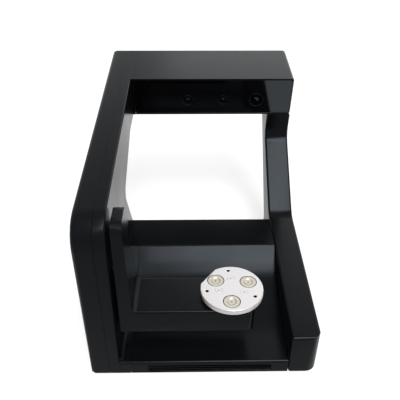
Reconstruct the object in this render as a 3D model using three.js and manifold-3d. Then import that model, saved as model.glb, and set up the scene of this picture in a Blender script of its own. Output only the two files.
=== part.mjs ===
// Desktop 3D scanner with an open frame: a tall housing on the left, a low rail and leaning column
// on the right, a scanning head across the back and a swing arm that carries a turntable.
// Millimetres, +Z up, front towards -Y. The origin is the middle of the footprint on the table.

import * as THREE from 'three';
import { mergeVertices } from 'three/addons/utils/BufferGeometryUtils.js';
import Module from 'manifold-3d';

const wasm = await Module();
wasm.setup();

// Clearances and cuts
const gap = 0.3; // between neighbouring pieces
const runningGap = 1; // between pieces that move past each other
const overrun = 6; // how far a cut runs past the face that it opens

// Whole body; heights are above the underside of the covers
const bodyWidth = 273.5;
const bodyDepth = 418;
const backHeight = 260;
const wall = 3; // moulded covers

// Heights that keep their share of the back's height
const kneeShare = 0.8423; // front face and sloping top meet here
const undersideShare = 0.7338; // underside of the head and of the housing behind it
const notchShare = 0.5781;
const waistShare = 0.59;
const pivotShare = 0.4962;
const armTopShare = 0.8135;

// Places along the depth that keep their share of the body's depth
const scoopFootShare = 0.1435;
const scoopBendShare = 0.3182;
const crossbarFrontShare = 0.3804;
const crossbarBackShare = 0.5239;
const baseBackShare = 0.6818;
const postShare = 0.3916; // the notch behind the housing's post starts here
const undersideFrontShare = 0.6411; // the underside starts to fall here
const columnFootShare = 0.5407;
const columnBackFootShare = 0.6364;
const waistFrontShare = 0.7835;
const columnTopShare = 0.9426; // back of the column under the head
const headTopShare = 0.7498;
const headBottomShare = 0.7689;

// Left housing
const housingWidth = 36;
const outerCoverWidth = 23;
const kneeRadius = 35;
const housingEdge = 5.5; // rounding of the edges on the outer side
const innerEdge = 2; // rounding of the edges on the side of the scan bay
const backRadius = 8;
const undersideRadius = 40;
const notchRadius = 12;
const postFootRadius = 20;

// Base
const baseBackHeight = 18;
const floorHeight = 18.6;
const lipRadius = 3;
const crossbarHeight = 68;
const crossbarRadius = 5;
const scoopBendHeight = 42; // where the scoop behind the arm turns from steep to gentle
const scoopBendRadius = 80;
const scoopFootRadius = 120;
const flangeWidth = 13; // strip of base that belongs to the housing's inner cover
const bayFillet = 8;
const basePlateThickness = 2.5;

// Right rail and column
const railWidth = 35.5;
const railFrontHeight = 58;
const railFrontRadius = 14; // outer front corner, seen from above
const railEdge = 3;
const railLipRadius = 4;
const columnFootHeight = 70.5;
const columnFootRadius = 30;
const waistRadius = 24;
const columnBackFootHeight = 32.5;
const columnBackFootRadius = 12;
const sidePanelMargin = 9; // from the rail's outline to its side panel

// Head
const headFlange = 3; // raised pad on the housing that the head butts against
const headWall = 2.5;
const headEdge = 5;
const panelInset = 1;
const panelThickness = 3;
const panelCornerRadius = 3;
const lensHeight = 23.8; // of the lens centres above the underside
const lensPlaceShares = [0.3362, 0.5586, 0.7703]; // of the head's width
const lensRingRadii = [8.5, 8, 11];
const lensRingWall = 1.6;
const lensRingProud = 0.5;
const windowThickness = 1.5;
const benchRoom = 40; // from the head's lower front edge
const benchThickness = 4;
const benchHeight = 38;
const benchSideRoom = 8;
const cameraSize = 28;
const cameraDepth = 19;
const barrelLength = 13;
const barrelRadius = 9;
const barrelFrontRadius = 7;
const barrelCollar = 4;
const pupilRadius = 5;
const pupilTaper = 1;
const pupilDepth = 3;
const projectorWidth = 38;
const projectorHeight = 32;

// Swing arm
const armGap = 3.5; // between the housing and the arm
const armFront = 13;
const armBack = 71;
const beamHeight = 90;
const beamThickness = 34;
const beamEndRoom = 43; // from the beam's end to the rail
const beamEndRadius = 9;
const beamEdge = 3;
const beamCornerRadius = 4;
const legTopWidth = 12;
const legFootWidth = 15;
const legFillet = 5.5;
const legTopDepth = 44;
const legTopFrontRadius = 15;
const legTopBackRadius = 14;
const legWaistRise = 31; // above the pivot, where the back edge starts to flare out
const legFlareDrop = 21; // below the pivot, where it ends
const legFlareRadius = 30;
const armWall = 2.5;
const armPlateThickness = 2.5;
const armEdge = 1.5;

// Tilt pivot and its drive
const pivotDepth = 42;
const shaftRadius = 8;
const shaftFlangeRadius = 16;
const shaftFlangeThickness = 3;
const shaftEndRoom = 4; // from the outer cover's wall to the shaft's end
const bearingWall = 3.7;
const housingBossLength = 13.4;
const housingFlangeRadius = 17;
const housingFlangeThickness = 3;
const bearingWidth = 9;
const tiltModule = 1.5;
const tiltWheelTeeth = 40;
const tiltPinionTeeth = 12;
const tiltWheelPlace = 10; // across the housing, from its outer face
const tiltWheelWidth = 6;
const tiltMotorSize = 40;
const tiltMotorLength = 13;

// Turntable and its drive
const spindleInset = 25.6; // from the beam's end
const discRadius = 36.8;
const discThickness = 7;
const discRise = 2.2; // from the beam to the disc
const discChamfer = 0.5;
const discFlatShare = 0.914;
const discFlatAngle = 144;
const rimGroove = 0.4;
const spindleRadius = 4;
const spindleFlangeRadius = 15;
const spinBearingWall = 5;
const spinBearingWidth = 8;
const spinBossWall = 2.5;
const spinModule = 1;
const spinWheelTeeth = 40;
const spinPinionTeeth = 20;
const spinWheelWidth = 6;
const spinWheelRise = 2.2; // above the bottom cover
const spinMotorSize = 28;
const spinMotorLength = 17;
const motorShaftRadius = 2.5;
const motorShaftReach = 8;

// Fittings of the disc; angles in degrees from +X, places as shares of the disc's radius
const magnetRadius = 9.8;
const magnetDepth = 3;
const magnetPlaceShare = 0.605;
const magnetAngles = [26, 146, 266];
const magnetBoreRadius = 2.2;
const magnetSinkRadius = 4.6;
const screwHeadRadius = 4.1;
const screwHeadDepth = 1.4;
const screwRadius = 1.3;
const screwLength = 5;
const screwPlaceShare = 0.43;
const screwAngles = [91, 195, 332];
const pinHoleRadius = 2;
const pinHoleDepth = 4;
const pinHolePlaceShare = 0.805;
const pinHoleAngles = [95, 190, 331];

// Louvres in the front of the base
const ventMargin = 20.25; // from the ends of the base
const ventBottom = 1.6;
const ventHeight = 11.6;
const ventSlots = 3;
const finThickness = 1.2;
const ventFrame = 0.6;
const ventInset = 0.6;

// Connectors in the back of the base
const connectorInset = 32; // from the end of the base
const connectorWidth = 74;
const connectorBottom = 3;
const connectorHeight = 11.5;
const connectorPlateThickness = 2;
const inletRadius = 4.4;
const inletBoreRadius = 3;
const inletPinRadius = 1;
const inletLength = 12;
const inletPlace = 14; // from the start of the connector plate
const portPlace = 36;
const portWidth = 12;
const portHeight = 6.5;
const portWall = 0.8;
const portLength = 14;
const tongueThickness = 2;
const switchPlace = 60;
const switchWidth = 14;
const switchHeight = 8.5;
const switchWall = 1;
const switchDepth = 9;
const rockerPivotDepth = 3.4; // behind the back face
const rockerReach = 2.4; // from the pivot to the rocker's ends, outwards
const rockerDip = 0.9;
const rockerPinRadius = 0.8;
const rockerAngle = 10; // either side of level, in degrees

// Electronics
const boardThickness = 1.6;
const boardStandoff = 5;
const boardPostRadius = 3;
const boardRoom = 33; // behind the crossbar's front
const boardLength = 104;
const boardDrop = 16; // below the front edge of the sloping top
const boardHeight = 24;
const boardMargin = 5;
const chipHeight = 4;
const chipShares = [[0.16, 0.5, 0.14], [0.46, 0.5, 0.2], [0.8, 0.5, 0.12]];
const supplyInset = 16; // from the end of the base
const supplyWidth = 120;
const supplyRoom = 9; // behind the crossbar's front
const supplyDepth = 42;
const supplyHeight = 36;

// Feet
const footRadius = 9;
const footHeight = 3;
const footSideInset = 19;
const footFrontInset = 12;

// Facets
const roundSteps = 5; // per quarter turn of a small rounding
const turnSteps = 24; // per whole turn of a round piece
const discSteps = 48; // round the turntable's rim
const smallTurnSteps = 12;
const edgeSteps = 2; // across a rounded edge

// Places that follow from the sizes above: heights, then depths from the front face, then places
// across from the housing's outer face
const kneeHeight = kneeShare * backHeight;
const undersideHeight = undersideShare * backHeight;
const notchHeight = notchShare * backHeight;
const waistHeight = waistShare * backHeight;
const pivotHeight = pivotShare * backHeight;
const armTop = armTopShare * backHeight;
const armBottom = beamHeight - beamThickness;
const discBottom = beamHeight + discRise;
const discTop = discBottom + discThickness;
const boardBottom = kneeHeight - boardDrop;
const scoopFoot = scoopFootShare * bodyDepth;
const scoopBend = scoopBendShare * bodyDepth;
const crossbarFront = crossbarFrontShare * bodyDepth;
const crossbarBack = crossbarBackShare * bodyDepth;
const baseDepth = baseBackShare * bodyDepth;
const postDepth = postShare * bodyDepth;
const undersideFront = undersideFrontShare * bodyDepth;
const columnFoot = columnFootShare * bodyDepth;
const columnBackFoot = columnBackFootShare * bodyDepth;
const waistFront = waistFrontShare * bodyDepth;
const columnTopBack = columnTopShare * bodyDepth;
const headTopFront = headTopShare * bodyDepth;
const headBottomFront = headBottomShare * bodyDepth;
const benchFront = headBottomFront + benchRoom;
const boardStart = crossbarFront + boardRoom;
const supplyFront = crossbarFront + supplyRoom;
const headRise = topHeight(headTopFront) - undersideHeight;
const headLean = Math.atan2(headBottomFront - headTopFront, headRise);
const armStart = housingWidth + armGap;
const baseStart = housingWidth + flangeWidth;
const headStart = housingWidth + headFlange;
const railStart = bodyWidth - railWidth;
const beamEnd = railStart - beamEndRoom;
const spindlePlace = beamEnd - spindleInset;
const ventStart = baseStart + ventMargin;
const ventEnd = railStart - ventMargin;
const connectorStart = baseStart + connectorInset;
const supplyStart = baseStart + supplyInset;
const lensPlaces = lensPlaceShares.map((share) => headStart + share * (bodyWidth - headStart));

const plastic = { color: 0x24262b, roughness: 0.45, metalness: 0 };
const darkPlastic = { color: 0x17181b, roughness: 0.5, metalness: 0 };
const gloss = { color: 0x050608, roughness: 0.08, metalness: 0 };
const glass = { color: 0x0b1020, roughness: 0.03, metalness: 0 };
const anodised = { color: 0x16171a, roughness: 0.35, metalness: 0.8 };
const aluminium = { color: 0xb9bcc0, roughness: 0.35, metalness: 1 };
const silver = { color: 0xe9e8e8, roughness: 0.3, metalness: 0.4 };
const steel = { color: 0x8d9095, roughness: 0.35, metalness: 1 };
const magnetCoat = { color: 0xd8cfae, roughness: 0.35, metalness: 0.5 };
const rubber = { color: 0x101011, roughness: 0.9, metalness: 0 };
const boardGreen = { color: 0x14532d, roughness: 0.5, metalness: 0 };

// Height of the sloping top at a depth behind the front face.
function topHeight(depth) {
  return kneeHeight + ((backHeight - kneeHeight) * depth) / bodyDepth;
}

function radians(degrees) {
  return (degrees * Math.PI) / 180;
}

// Closed outline from corners [a, b, radius], each rounded by an arc of its radius.
function outline(corners, steps = roundSteps) {
  const points = [];
  corners.forEach(([a, b, radius = 0], i) => {
    const corner = new THREE.Vector2(a, b);
    const before = new THREE.Vector2(...corners.at(i - 1)).sub(corner).normalize();
    const after = new THREE.Vector2(...corners[(i + 1) % corners.length]).sub(corner).normalize();
    const half = Math.acos(THREE.MathUtils.clamp(before.dot(after), -1, 1)) / 2;
    if (radius === 0) {
      points.push(corner);
      return;
    }
    const middle = before.clone().add(after).normalize();
    const centre = corner.clone().addScaledVector(middle, radius / Math.sin(half));
    const start = corner.clone().addScaledVector(before, radius / Math.tan(half)).sub(centre);
    const sweep = (Math.PI - 2 * half) * -Math.sign(before.cross(after));
    const count = Math.max(2, Math.round((steps * Math.abs(sweep)) / (Math.PI / 2)));
    for (let step = 0; step <= count; step += 1) {
      const turned = start.clone().rotateAround(new THREE.Vector2(), (sweep * step) / count);
      points.push(turned.add(centre));
    }
  });
  return points;
}

// The same corners moved inwards by an amount, with their roundings kept parallel.
function inset(corners, amount) {
  const turn = Math.sign(THREE.ShapeUtils.area(corners.map(([a, b]) => new THREE.Vector2(a, b))));
  return corners.map(([a, b, radius = 0], i) => {
    const corner = new THREE.Vector2(a, b);
    const before = corner.clone().sub(new THREE.Vector2(...corners.at(i - 1))).normalize();
    const after = new THREE.Vector2(...corners[(i + 1) % corners.length]).sub(corner).normalize();
    const inBefore = new THREE.Vector2(-before.y, before.x).multiplyScalar(turn);
    const inAfter = new THREE.Vector2(-after.y, after.x).multiplyScalar(turn);
    const reach = amount / (1 + inBefore.dot(inAfter));
    corner.addScaledVector(inBefore.add(inAfter), reach);
    const outward = before.cross(after) * turn > 0;
    return [corner.x, corner.y, outward ? Math.max(radius - amount, 0) : radius + amount];
  });
}

function rectangle(a0, b0, a1, b1, radius = 0) {
  return [[a0, b0, radius], [a1, b0, radius], [a1, b1, radius], [a0, b1, radius]];
}

// Closed solid from a closed geometry.
function solid(geometry) {
  const bare = geometry.clone();
  bare.deleteAttribute('normal');
  bare.deleteAttribute('uv');
  const merged = mergeVertices(bare);
  return new wasm.Manifold(new wasm.Mesh({
    numProp: 3,
    vertProperties: new Float32Array(merged.attributes.position.array),
    triVerts: new Uint32Array(merged.index.array),
  }));
}

function joined(first, ...others) {
  return others.reduce((whole, other) => whole.add(other), first);
}

function cut(first, ...others) {
  return others.reduce((whole, other) => whole.subtract(other), first);
}

// Prism of an outline, lengthwise along the local Z axis, with both end edges rounded if asked.
function prism(points, length, edge = 0) {
  const geometry = new THREE.ExtrudeGeometry(new THREE.Shape(points), {
    depth: length - 2 * edge,
    bevelEnabled: edge > 0,
    bevelThickness: edge,
    bevelSize: edge,
    bevelOffset: -edge,
    bevelSegments: edgeSteps,
  });
  return geometry.translate(0, 0, edge);
}

// Prism across X of an outline given in (Y, Z).
function sideSolid(corners, x0, x1, edge = 0, steps = roundSteps) {
  const geometry = prism(outline(corners, steps), x1 - x0, edge);
  const axes = new THREE.Matrix4().makeBasis(
    new THREE.Vector3(0, 1, 0),
    new THREE.Vector3(0, 0, 1),
    new THREE.Vector3(1, 0, 0),
  );
  return solid(geometry.applyMatrix4(axes).translate(x0, 0, 0));
}

// Prism across Y of an outline given in (X, Z).
function frontSolid(corners, y0, y1, edge = 0, steps = roundSteps) {
  const geometry = prism(outline(corners, steps), y1 - y0, edge);
  return solid(geometry.rotateX(Math.PI / 2).translate(0, y1, 0));
}

// Prism along Z of an outline given in (X, Y).
function planSolid(corners, z0, z1, edge = 0, steps = roundSteps) {
  const geometry = prism(outline(corners, steps), z1 - z0, edge);
  return solid(geometry.translate(0, 0, z0));
}

function block(x0, y0, z0, x1, y1, z1) {
  const geometry = new THREE.BoxGeometry(x1 - x0, y1 - y0, z1 - z0);
  return solid(geometry.translate((x0 + x1) / 2, (y0 + y1) / 2, (z0 + z1) / 2));
}

// Everything between two planes across X.
function between(x0, x1) {
  return block(x0, -overrun, -overrun, x1, bodyDepth + overrun, backHeight + overrun);
}

// Turned piece round the local Z axis from a profile of [radius, height] that starts and ends on
// the axis or closes on itself.
function turned(profile, steps = turnSteps) {
  const points = profile.map(([radius, height]) => new THREE.Vector2(radius, height));
  return new THREE.LatheGeometry(points, steps).rotateX(Math.PI / 2);
}

function rod(radius, z0, z1, steps = turnSteps) {
  return turned([[0, z0], [radius, z0], [radius, z1], [0, z1]], steps);
}

function tube(innerRadius, outerRadius, z0, z1, steps = turnSteps) {
  return turned([
    [innerRadius, z0],
    [outerRadius, z0],
    [outerRadius, z1],
    [innerRadius, z1],
    [innerRadius, z0],
  ], steps);
}

// Turns a geometry made round Z so that it lies along X or along Y.
function alongX(geometry) {
  return geometry.rotateY(Math.PI / 2);
}

function alongY(geometry) {
  return geometry.rotateX(-Math.PI / 2);
}

function geometryOf(shape) {
  const mesh = shape.getMesh();
  const geometry = new THREE.BufferGeometry();
  const positions = new Float32Array((mesh.vertProperties.length / mesh.numProp) * 3);
  for (let i = 0; i < positions.length / 3; i += 1) {
    for (let axis = 0; axis < 3; axis += 1) {
      positions[3 * i + axis] = mesh.vertProperties[mesh.numProp * i + axis];
    }
  }
  geometry.setAttribute('position', new THREE.BufferAttribute(positions, 3));
  geometry.setIndex(new THREE.BufferAttribute(new Uint32Array(mesh.triVerts), 1));
  return geometry;
}

function piece(name, shape, look, x = 0, y = 0, z = 0) {
  const geometry = shape.isBufferGeometry ? shape : geometryOf(shape);
  geometry.computeVertexNormals();
  const mesh = new THREE.Mesh(geometry, new THREE.MeshStandardMaterial(look));
  mesh.name = name;
  mesh.position.set(x, y, z);
  return mesh;
}

// Straight-sided gear, a tooth centred on +X unless turned by half a tooth.
function gear(module, teeth, boreRadius, width, halfTurn = false) {
  const pitchRadius = (module * teeth) / 2;
  const rootShare = 1.2;
  const tipShare = 0.85;
  const rootWidthShare = 0.3;
  const tipWidthShare = 0.13;
  const root = pitchRadius - rootShare * module;
  const tip = pitchRadius + tipShare * module;
  const step = (2 * Math.PI) / teeth;
  const points = [];
  for (let tooth = 0; tooth < teeth; tooth += 1) {
    const middle = (tooth + (halfTurn ? 0.5 : 0)) * step;
    const flanks = [
      [root, -rootWidthShare],
      [tip, -tipWidthShare],
      [tip, tipWidthShare],
      [root, rootWidthShare],
    ];
    flanks.forEach(([radius, share]) => {
      const angle = middle + share * step;
      points.push(new THREE.Vector2(radius * Math.cos(angle), radius * Math.sin(angle)));
    });
  }
  const shape = new THREE.Shape(points);
  if (boreRadius > 0) {
    shape.holes.push(new THREE.Path().absarc(0, 0, boreRadius, 0, 2 * Math.PI, true));
  }
  const settings = { depth: width, bevelEnabled: false, curveSegments: smallTurnSteps };
  return new THREE.ExtrudeGeometry(shape, settings);
}

// Side outline of the left housing.
const housingCorners = [
  [0, 0],
  [baseDepth, 0],
  [baseDepth, baseBackHeight, backRadius],
  [crossbarBack, crossbarHeight, postFootRadius],
  [postDepth, notchHeight, notchRadius],
  [undersideFront, undersideHeight, undersideRadius],
  [bodyDepth, undersideHeight, backRadius],
  [bodyDepth, backHeight, backRadius],
  [0, kneeHeight, kneeRadius],
];

// Side outline of the base between the housing and the rail.
const baseCorners = [
  [0, 0],
  [baseDepth, 0],
  [baseDepth, baseBackHeight, backRadius],
  [crossbarBack, crossbarHeight, lipRadius],
  [crossbarFront, crossbarHeight, crossbarRadius],
  [scoopBend, scoopBendHeight, scoopBendRadius],
  [scoopFoot, floorHeight, scoopFootRadius],
  [0, floorHeight, lipRadius],
];

const railCorners = [
  [0, 0],
  [baseDepth, 0],
  [baseDepth, baseBackHeight, backRadius],
  [columnBackFoot, columnBackFootHeight, columnBackFootRadius],
  [columnTopBack, undersideHeight - gap],
  [headBottomFront, undersideHeight - gap],
  [waistFront, waistHeight, waistRadius],
  [columnFoot, columnFootHeight, columnFootRadius],
  [0, railFrontHeight, railLipRadius],
];

const headCorners = [
  [headBottomFront, undersideHeight],
  [bodyDepth, undersideHeight, backRadius],
  [bodyDepth, backHeight, backRadius],
  [headTopFront, topHeight(headTopFront)],
];

// Side outlines of the leg and of the beam of the swing arm.
const legCorners = [
  [armFront, armBottom, beamEdge],
  [armBack, armBottom, beamEdge],
  [armBack, pivotHeight - legFlareDrop, legFlareRadius],
  [armFront + legTopDepth, pivotHeight + legWaistRise, legFlareRadius],
  [armFront + legTopDepth, armTop, legTopBackRadius],
  [armFront, armTop, legTopFrontRadius],
];

function housingOuterCover() {
  const body = sideSolid(housingCorners, 0, 2 * outerCoverWidth, housingEdge);
  const half = body.intersect(between(-overrun, outerCoverWidth));
  const hollow = sideSolid(inset(housingCorners, wall), wall, outerCoverWidth + overrun);
  return piece('housing_outer_cover', cut(half, hollow), plastic);
}

// The inner cover also carries the end strip of the base, the fillet along the floor, the pad that
// the head butts against and the posts of the main board.
function housingInnerCover() {
  const start = outerCoverWidth + gap;
  const body = sideSolid(housingCorners, start - housingWidth, housingWidth, innerEdge);
  const half = body.intersect(between(start, housingWidth));
  const hollow = sideSolid(inset(housingCorners, wall), start - overrun, housingWidth - wall);
  const strip = sideSolid(baseCorners, housingWidth - wall, baseStart);
  const passage = sideSolid(inset(baseCorners, wall), start - overrun, baseStart + overrun);
  const fillet = frontSolid([
    [housingWidth - wall, floorHeight - wall],
    [housingWidth + bayFillet, floorHeight - wall],
    [housingWidth + bayFillet, floorHeight],
    [housingWidth, floorHeight, bayFillet],
    [housingWidth, floorHeight + bayFillet],
    [housingWidth - wall, floorHeight + bayFillet],
  ], lipRadius, scoopBend);
  const pad = sideSolid(headCorners, housingWidth - wall, headStart);
  const headPassage = sideSolid(inset(headCorners, 2 * wall), start - overrun, headStart + overrun);
  const shaftHole = solid(alongX(rod(shaftRadius + runningGap, 0, housingWidth + overrun)))
    .translate(0, pivotDepth, pivotHeight);
  const posts = boardPosts();
  const shell = joined(cut(half, hollow), strip, fillet, pad);
  const opened = cut(shell, passage, headPassage, shaftHole);
  return piece('housing_inner_cover', joined(opened, ...posts), plastic);
}

function boardPosts() {
  const places = [];
  for (const y of [boardStart + boardMargin, boardStart + boardLength - boardMargin]) {
    for (const z of [boardBottom + boardMargin, boardBottom + boardHeight - boardMargin]) {
      places.push([y, z]);
    }
  }
  const start = housingWidth - wall - boardStandoff;
  const post = rod(boardPostRadius, start, housingWidth - wall / 2, smallTurnSteps);
  const lying = solid(alongX(post));
  return places.map(([y, z]) => lying.translate(0, y, z));
}

function baseTray() {
  const start = baseStart + gap;
  const end = railStart - gap;
  const body = sideSolid(baseCorners, start, end);
  const hollow = sideSolid(inset(baseCorners, wall), start - overrun, end + overrun);
  const bottom = block(start - overrun, wall, -overrun, end + overrun, baseDepth - wall, wall + gap);
  const ventTop = ventBottom + ventHeight;
  const vent = block(ventStart, -overrun, ventBottom, ventEnd, wall + overrun, ventTop);
  const connectors = block(
    connectorStart,
    baseDepth - wall - overrun,
    connectorBottom,
    connectorStart + connectorWidth,
    baseDepth + overrun,
    connectorBottom + connectorHeight,
  );
  return piece('base_tray', cut(body, hollow, bottom, vent, connectors), plastic);
}

function basePlate() {
  const plate = block(
    baseStart + gap,
    wall + gap,
    0,
    railStart - gap,
    baseDepth - wall - gap,
    basePlateThickness,
  );
  return piece('base_plate', plate, steel);
}

function ventGrille() {
  const x0 = ventStart + gap;
  const x1 = ventEnd - gap;
  const z0 = ventBottom + gap;
  const z1 = ventBottom + ventHeight - gap;
  const frame = block(x0, ventInset, z0, x1, wall, z1);
  const slotHeight = (z1 - z0 - 2 * ventFrame - (ventSlots - 1) * finThickness) / ventSlots;
  const slots = [];
  for (let slot = 0; slot < ventSlots; slot += 1) {
    const low = z0 + ventFrame + slot * (slotHeight + finThickness);
    slots.push(block(x0 + ventFrame, -overrun, low, x1 - ventFrame, wall + overrun, low + slotHeight));
  }
  return piece('vent_grille', cut(frame, ...slots), darkPlastic);
}

// Plan outline of the rail side, rounded at its outer front and back corners.
function railPlan(amount, x0) {
  return inset([
    [x0, 0],
    [bodyWidth, 0, railFrontRadius],
    [bodyWidth, columnTopBack + railFrontRadius],
    [x0, columnTopBack + railFrontRadius],
  ], amount);
}

function railCover() {
  const body = sideSolid(railCorners, railStart, bodyWidth, railEdge)
    .intersect(planSolid(railPlan(0, railStart), -overrun, backHeight));
  const hollow = sideSolid(inset(railCorners, wall), railStart + wall, bodyWidth - wall)
    .intersect(planSolid(railPlan(wall, railStart), -overrun, backHeight));
  const opening = railSide(0, bodyWidth - 2 * wall, bodyWidth + overrun);
  const passageFace = inset(baseCorners, sidePanelMargin / 2);
  const passage = sideSolid(passageFace, railStart - overrun, railStart + 2 * wall);
  const topHole = block(
    railStart + 2 * wall,
    headBottomFront + 3 * wall,
    undersideHeight - 2 * wall,
    bodyWidth - 2 * wall,
    columnTopBack - 6 * wall,
    undersideHeight + overrun,
  );
  return piece('rail_cover', cut(body, hollow, opening, passage, topHole), plastic);
}

// Flat part of the rail's outer side, behind its rounded front corner.
function railSide(clearance, x0, x1) {
  const start = railFrontRadius + clearance;
  return sideSolid(inset(railCorners, sidePanelMargin + clearance), x0, x1)
    .intersect(block(x0, start, -overrun, x1, bodyDepth, backHeight));
}

function railSidePanel() {
  const panel = railSide(gap, bodyWidth - wall, bodyWidth);
  return piece('rail_side_panel', panel, plastic);
}

function headCover() {
  const start = headStart + gap;
  const body = sideSolid(headCorners, start - 2 * headEdge, bodyWidth, headEdge)
    .intersect(between(start, bodyWidth));
  const inner = inset(headCorners, headWall);
  const hollowCorners = [
    [headTopFront - overrun, undersideHeight - overrun],
    [inner[1][0], undersideHeight - overrun],
    inner[2],
    [headTopFront - overrun, topHeight(headTopFront - overrun) - headWall],
  ];
  const hollow = sideSolid(hollowCorners, start - overrun, bodyWidth - headWall);
  return piece('head_cover', cut(body, hollow), plastic);
}

function headFloor() {
  const floor = block(
    headStart + gap,
    headBottomFront,
    undersideHeight,
    bodyWidth - headWall - gap,
    bodyDepth - headWall - gap,
    undersideHeight + headWall,
  );
  const cableHole = block(
    railStart + 3 * wall,
    headBottomFront + 5 * wall,
    undersideHeight - overrun,
    bodyWidth - 3 * wall,
    columnTopBack - 8 * wall,
    undersideHeight + overrun,
  );
  return piece('head_floor', cut(floor, cableHole), plastic);
}

// The front of the head leans: its pieces are made upright, with Y running into the head and Z up
// from its lower edge, and are tipped together.
function headFront() {
  const front = new THREE.Group();
  front.position.set(0, headBottomFront, undersideHeight);
  front.rotation.x = headLean;
  const slant = headRise / Math.cos(headLean);
  const rise = lensHeight / Math.cos(headLean);
  const x0 = headStart + 2 * gap;
  const x1 = bodyWidth - headWall - gap;
  const z0 = headWall + gap;
  const z1 = slant - headWall - 2 * gap;
  const plate = frontSolid([
    [x0, z0],
    [x1, z0],
    [x1, z1, panelCornerRadius],
    [x0, z1],
  ], panelInset, panelInset + panelThickness);
  const holes = lensPlaces.map((x, i) => (
    solid(alongY(rod(lensRingRadii[i] + gap, -overrun, overrun))).translate(x, 0, rise)
  ));
  front.add(piece('lens_panel', cut(plate, ...holes), gloss));
  const sides = ['left', 'middle', 'right'];
  sides.forEach((side, i) => {
    const radius = lensRingRadii[i];
    const back = panelInset + panelThickness;
    const ring = tube(radius - lensRingWall, radius, panelInset - lensRingProud, back);
    const pane = rod(radius - lensRingWall - gap, back - windowThickness - gap, back - gap);
    front.add(piece(`lens_ring_${side}`, alongY(ring), anodised, lensPlaces[i], 0, rise));
    front.add(piece(`lens_window_${side}`, alongY(pane), glass, lensPlaces[i], 0, rise));
  });
  return front;
}

// Barrel of a lens with its front glass sunk into it, pointing to -Y from its seat.
function lensBarrel(name, x, length) {
  const barrel = turned([
    [0, 0],
    [barrelRadius, 0],
    [barrelRadius, barrelCollar],
    [barrelFrontRadius, barrelCollar],
    [barrelFrontRadius, length],
    [pupilRadius, length],
    [pupilRadius - pupilTaper, length - pupilDepth],
    [0, length - pupilDepth],
  ]);
  const mesh = piece(name, barrel.rotateX(Math.PI / 2), anodised);
  mesh.position.set(x, benchFront - 2 * gap - cameraDepth, undersideHeight + lensHeight);
  return mesh;
}

function opticsOnBench() {
  const optics = new THREE.Group();
  const low = undersideHeight + headWall + gap;
  const centre = undersideHeight + lensHeight;
  const bench = block(
    headStart + benchSideRoom,
    benchFront,
    low,
    bodyWidth - headWall - benchSideRoom,
    benchFront + benchThickness,
    low + benchHeight,
  );
  optics.add(piece('optical_bench', bench, aluminium));
  const back = benchFront - gap;
  const bodies = [['camera_left', lensPlaces[0], cameraSize, cameraSize]];
  bodies.push(['projector', lensPlaces[1], projectorWidth, projectorHeight]);
  bodies.push(['camera_right', lensPlaces[2], cameraSize, cameraSize]);
  bodies.forEach(([name, x, width, height]) => {
    const foot = Math.max(centre - height / 2, low + gap);
    const top = centre + height / 2;
    const body = block(x - width / 2, back - cameraDepth, foot, x + width / 2, back, top);
    optics.add(piece(`${name}_body`, body, anodised));
    optics.add(lensBarrel(`${name}_lens`, x, barrelLength));
  });
  return optics;
}

function armShell() {
  const legFoot = armStart + legFootWidth;
  const beamFace = rectangle(armStart, armBottom, beamEnd, beamHeight, beamCornerRadius);
  const beamPlan = [
    [armStart, armFront, beamEdge],
    [beamEnd, armFront, beamEndRadius],
    [beamEnd, armBack, beamEndRadius],
    [armStart, armBack, beamEdge],
  ];
  const beam = frontSolid(beamFace, armFront, armBack, beamEdge)
    .intersect(planSolid(beamPlan, armBottom - overrun, beamHeight + overrun));
  const legFace = frontSolid([
    [armStart, armBottom],
    [legFoot + legFillet, armBottom],
    [legFoot + legFillet, beamHeight],
    [legFoot, beamHeight, legFillet],
    [armStart + legTopWidth, armTop, armEdge],
    [armStart, armTop, armEdge],
  ], armFront, armBack);
  const leg = legFace.intersect(sideSolid(legCorners, armStart, legFoot + legFillet));
  const inside = inset(legCorners, armWall);
  const legHollow = sideSolid(inside, armStart - overrun, armStart + legTopWidth - armWall);
  const beamHollow = block(
    armStart,
    armFront + armWall,
    armBottom + armWall,
    beamEnd - armWall,
    armBack - armWall,
    beamHeight - armWall,
  ).intersect(planSolid([
    [armStart - overrun, armFront + armWall],
    [beamEnd - armWall, armFront + armWall, beamEndRadius - armWall],
    [beamEnd - armWall, armBack - armWall, beamEndRadius - armWall],
    [armStart - overrun, armBack - armWall],
  ], armBottom, beamHeight));
  const mouth = armMouth(0, armBottom - overrun, armBottom + 2 * armWall);
  const bossRadius = spinBearingRadius() + gap + spinBossWall;
  const bossBottom = beamHeight - armWall - spinBearingWidth - gap;
  const boss = solid(rod(bossRadius, bossBottom, beamHeight - armWall / 2))
    .translate(spindlePlace, pivotDepth, 0);
  const seat = solid(rod(spinBearingRadius() + gap, bossBottom - overrun, beamHeight - armWall))
    .translate(spindlePlace, pivotDepth, 0);
  const spindleHole = solid(rod(spindleRadius + runningGap, armBottom, beamHeight + overrun))
    .translate(spindlePlace, pivotDepth, 0);
  const shell = cut(joined(beam, leg), legHollow, beamHollow, mouth);
  return piece('arm_shell', cut(joined(shell, boss), seat, spindleHole), plastic);
}

// Opening in the underside of the beam, or the cover that fills it when its edge is drawn in.
function armMouth(margin, z0, z1) {
  const side = 2 * armWall + margin;
  return planSolid([
    [armStart + legFootWidth + margin, armFront + side],
    [beamEnd - side, armFront + side, beamEndRadius - armWall],
    [beamEnd - side, armBack - side, beamEndRadius - armWall],
    [armStart + legFootWidth + margin, armBack - side],
  ], z0, z1);
}

function armBottomCover() {
  return piece('arm_bottom_cover', armMouth(gap, armBottom, armBottom + armWall), plastic);
}

function armSidePlate() {
  const plate = sideSolid(inset(legCorners, armWall + gap), armStart, armStart + armPlateThickness);
  const hole = solid(alongX(rod(shaftRadius + gap, 0, armStart + overrun)))
    .translate(0, pivotDepth, pivotHeight);
  return piece('arm_side_plate', cut(plate, hole), aluminium);
}

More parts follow.
